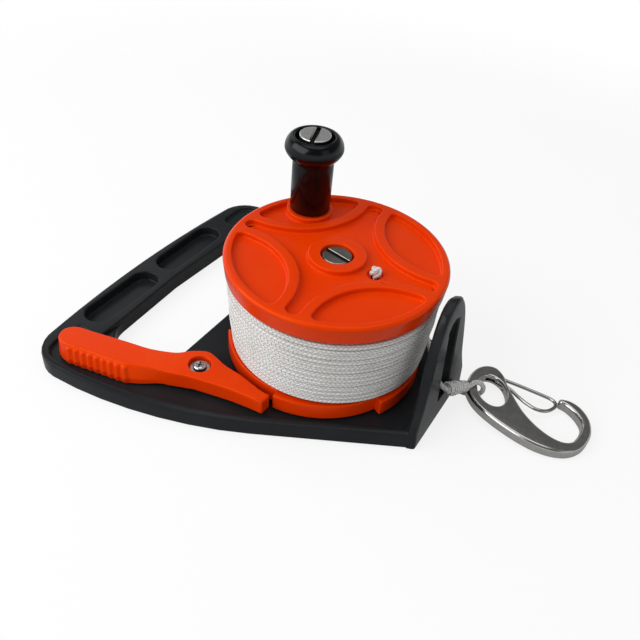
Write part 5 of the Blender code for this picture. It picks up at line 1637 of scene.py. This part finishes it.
@dataclass
class SnapHook:
    """The snap hook: round-edged cast body, hinge pin and wire gate."""

    place: Point = (SPOOL_X + 74.0 * MM, 21.2 * MM, 2.134 * MM)
    tilt: float = math.radians(2.7)
    length: float = 57.5 * MM
    thickness: float = 5.0 * MM
    top_round: Pair = (1.35 * MM, 1.7 * MM)
    foot_round: Pair = (0.9 * MM, 1.0 * MM)
    outline_shares: tuple[Pair, ...] = (
        (-0.209, 0.014), (-0.188, -0.082), (-0.104, -0.176), (-0.014, -0.230),
        (0.097, -0.268), (0.202, -0.292), (0.350, -0.313), (0.487, -0.311),
        (0.610, -0.278), (0.704, -0.216), (0.767, -0.117), (0.788, 0.007),
        (0.774, 0.108), (0.725, 0.203), (0.638, 0.272), (0.552, 0.288),
        (0.484, 0.266), (0.474, 0.243), (0.488, 0.222), (0.548, 0.216),
        (0.630, 0.177), (0.696, 0.108), (0.708, 0.031), (0.697, -0.059),
        (0.677, -0.113), (0.624, -0.150), (0.546, -0.158), (0.447, -0.137),
        (0.350, -0.094), (0.264, -0.037), (0.162, 0.057), (0.083, 0.139),
        (0.030, 0.210), (-0.038, 0.256), (-0.090, 0.261), (-0.143, 0.235),
        (-0.184, 0.184), (-0.207, 0.110))
    eye_radii: Pair = (9.0 * MM, 6.6 * MM)
    eye_turn: float = math.radians(-57.0)
    eye_round: float = 1.0 * MM
    pivot: Pair = (-0.2 * MM, 10.6 * MM)
    pin_radius: float = 0.6 * MM
    slot_radius: float = 6.4 * MM
    slot_height: float = 1.75 * MM
    wire: float = 0.80 * MM
    gate_length: float = 26.6 * MM
    gate_shares: tuple[Pair, ...] = (
        (0.0, -0.058), (0.128, -0.070), (0.259, -0.100), (0.414, -0.170),
        (0.594, -0.230), (0.771, -0.250), (0.925, -0.180), (1.010, -0.030),
        (1.002, 0.080), (0.912, 0.130), (0.722, 0.124), (0.372, 0.092), (0.128, 0.062))

    def eye(self) -> list[Pair]:
        """Return the eye's outline."""
        rows = []
        for step in range(72):
            x, y = polar(1.0, 2 * math.pi * step / 72)
            point = Vector((x * self.eye_radii[0], y * self.eye_radii[1]))
            rows.append(tuple(Matrix.Rotation(self.eye_turn, 2) @ point))
        return rows

    def body(self, material: bpy.types.Material) -> bpy.types.Object:
        """Return the cast body with its eye, its gate slot and round edges."""
        plan = [(x * self.length, y * self.length, 0.0) for x, y in self.outline_shares]
        outline = [(point.x, point.y) for point in spline(plan, 4, closed=True)]
        levels = []
        for rounding, low, sign in ((self.foot_round, 0.0, 1), (self.top_round,
                                                                self.thickness, -1)):
            inset, rise = rounding
            rows = []
            for step in range(6):
                turn = math.pi / 2 * step / 5
                rows.append((grown(outline, [-inset * (1 - math.sin(turn))] * len(outline)),
                             low + sign * rise * (1 - math.cos(turn))))
            levels += rows if sign > 0 else rows[::-1]
        piece = Bench.loft("snap_hook", levels)
        Bench.join(piece, Bench.loft("eye", [(self.eye(), -MM),
                                             (self.eye(), self.thickness + MM)]))
        rim = self.eye_radii[0] * 0.6
        turn = Matrix.Rotation(-self.eye_turn, 2)

        def on_eye(a: Vector, b: Vector) -> bool:
            """Tell whether both ends lie on the eye's rim."""
            for end in (a, b):
                local = turn @ end.xy
                share = math.hypot(local.x / self.eye_radii[0], local.y / self.eye_radii[1])
                if abs(share - 1) > 0.02 or end.xy.length < rim:
                    return False
            return abs(a.z - b.z) < 0.1 * MM

        Bench.round_edges(piece, self.eye_round, 4, 40.0, on_eye)
        middle = self.thickness / 2
        Bench.join(piece, Bench.cylinder("slot", self.slot_radius, middle - self.slot_height / 2,
                                         middle + self.slot_height / 2, self.pivot))
        Bench.join(piece, Bench.cylinder("seat", self.pin_radius + 0.15 * MM, -MM,
                                         self.thickness + MM, self.pivot, 24))
        Bench.shade(piece, 50.0, weighted=False)
        return Bench.fit(self.laid(piece), Body.FRAME, Slot.DARK_STEEL, material, "snap_body")

    def laid(self, piece: bpy.types.Object) -> bpy.types.Object:
        """Return a piece of the hook's own frame laid where the hook lies."""
        piece.data.transform(Matrix.Translation(self.place)
                             @ Matrix.Rotation(self.tilt, 4, "Y"))
        return piece

    def gate(self, material: bpy.types.Material) -> bpy.types.Object:
        """Return the wire gate: a closed loop hooked round its pin."""
        hook = self.pin_radius + 0.15 * MM + self.wire
        legs = [(x * self.gate_length, y * self.gate_length, 0.0) for x, y in self.gate_shares]
        hub = [(*point, 0.0) for point in quarter((0.0, 0.0), hook, 90.0, 270.0, 5)]
        path = [point + Vector((*self.pivot, self.thickness / 2))
                for point in spline(legs + hub, 6, closed=True)]
        piece = tube("gate_wire", path, self.wire, sides=16, closed=True)
        return Bench.fit(self.laid(piece), Body.GATE, Slot.DARK_STEEL, material, "snap_gate")

    def build(self, cast: bpy.types.Material, steel: bpy.types.Material) -> list[bpy.types.Object]:
        """Make the hook.

        Args:
            cast: the body's finish.
            steel: the gate's finish.

        Returns:
            Its pieces.
        """
        body = self.body(cast)
        gate = self.gate(steel)
        Bench.dress("gate_pin", cast)
        return [body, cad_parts["gate_pin"], gate]


def main() -> None:
    """Build the studio and every sub-assembly in order."""
    logging.basicConfig(level=logging.INFO, format="%(name)s: %(message)s")
    Studio().build()
    orange = MouldedPlastic("orange_moulded", (0.780, 0.040, 0.0), (0.820, 0.050, 0.0002),
                            0.25, 0.46, (1.0, 0.32, 0.08)).material()
    black = MouldedPlastic("black_moulded", (0.0135, 0.0155, 0.0170), (0.0200, 0.0220, 0.0240),
                           0.24, 0.14, grain=0.012 * MM).material()
    gloss = MouldedPlastic("gloss_black_moulded", (0.0016, 0.0018, 0.0022),
                           (0.0028, 0.0031, 0.0037), 0.20, 0.27, (0.86, 0.95, 1.0),
                           grain=0.003 * MM).material()
    braid = BraidedLine("braided_line").material()
    bound = BraidedLine("bound_line", (0.96, 0.96, 0.95), (0.22, 0.22, 0.215), pick=1.2 * MM,
                        columns=3, slant=0.8, depth=0.26 * MM, crease_shade=0.0).material()
    steel = TurnedSteel("plain_steel", (0.0, 0.0)).material()
    cast = CastSteel("cast_steel").material()
    wire = CastSteel("gate_wire_steel", (0.40, 0.40, 0.39), (0.48, 0.48, 0.47), 0.12,
                     0.004 * MM).material()

    hook = SnapHook().build(cast, wire)
    FreeLine().build(braid, bound, hook)
    WoundLine().build(braid)
    Spool().build(orange)
    Axle().build(steel)
    CrankKnob().build(gloss, steel)
    HandleFrame().build(black)
    LockLever().build(orange, steel)


if __name__ == "__main__":
    main()
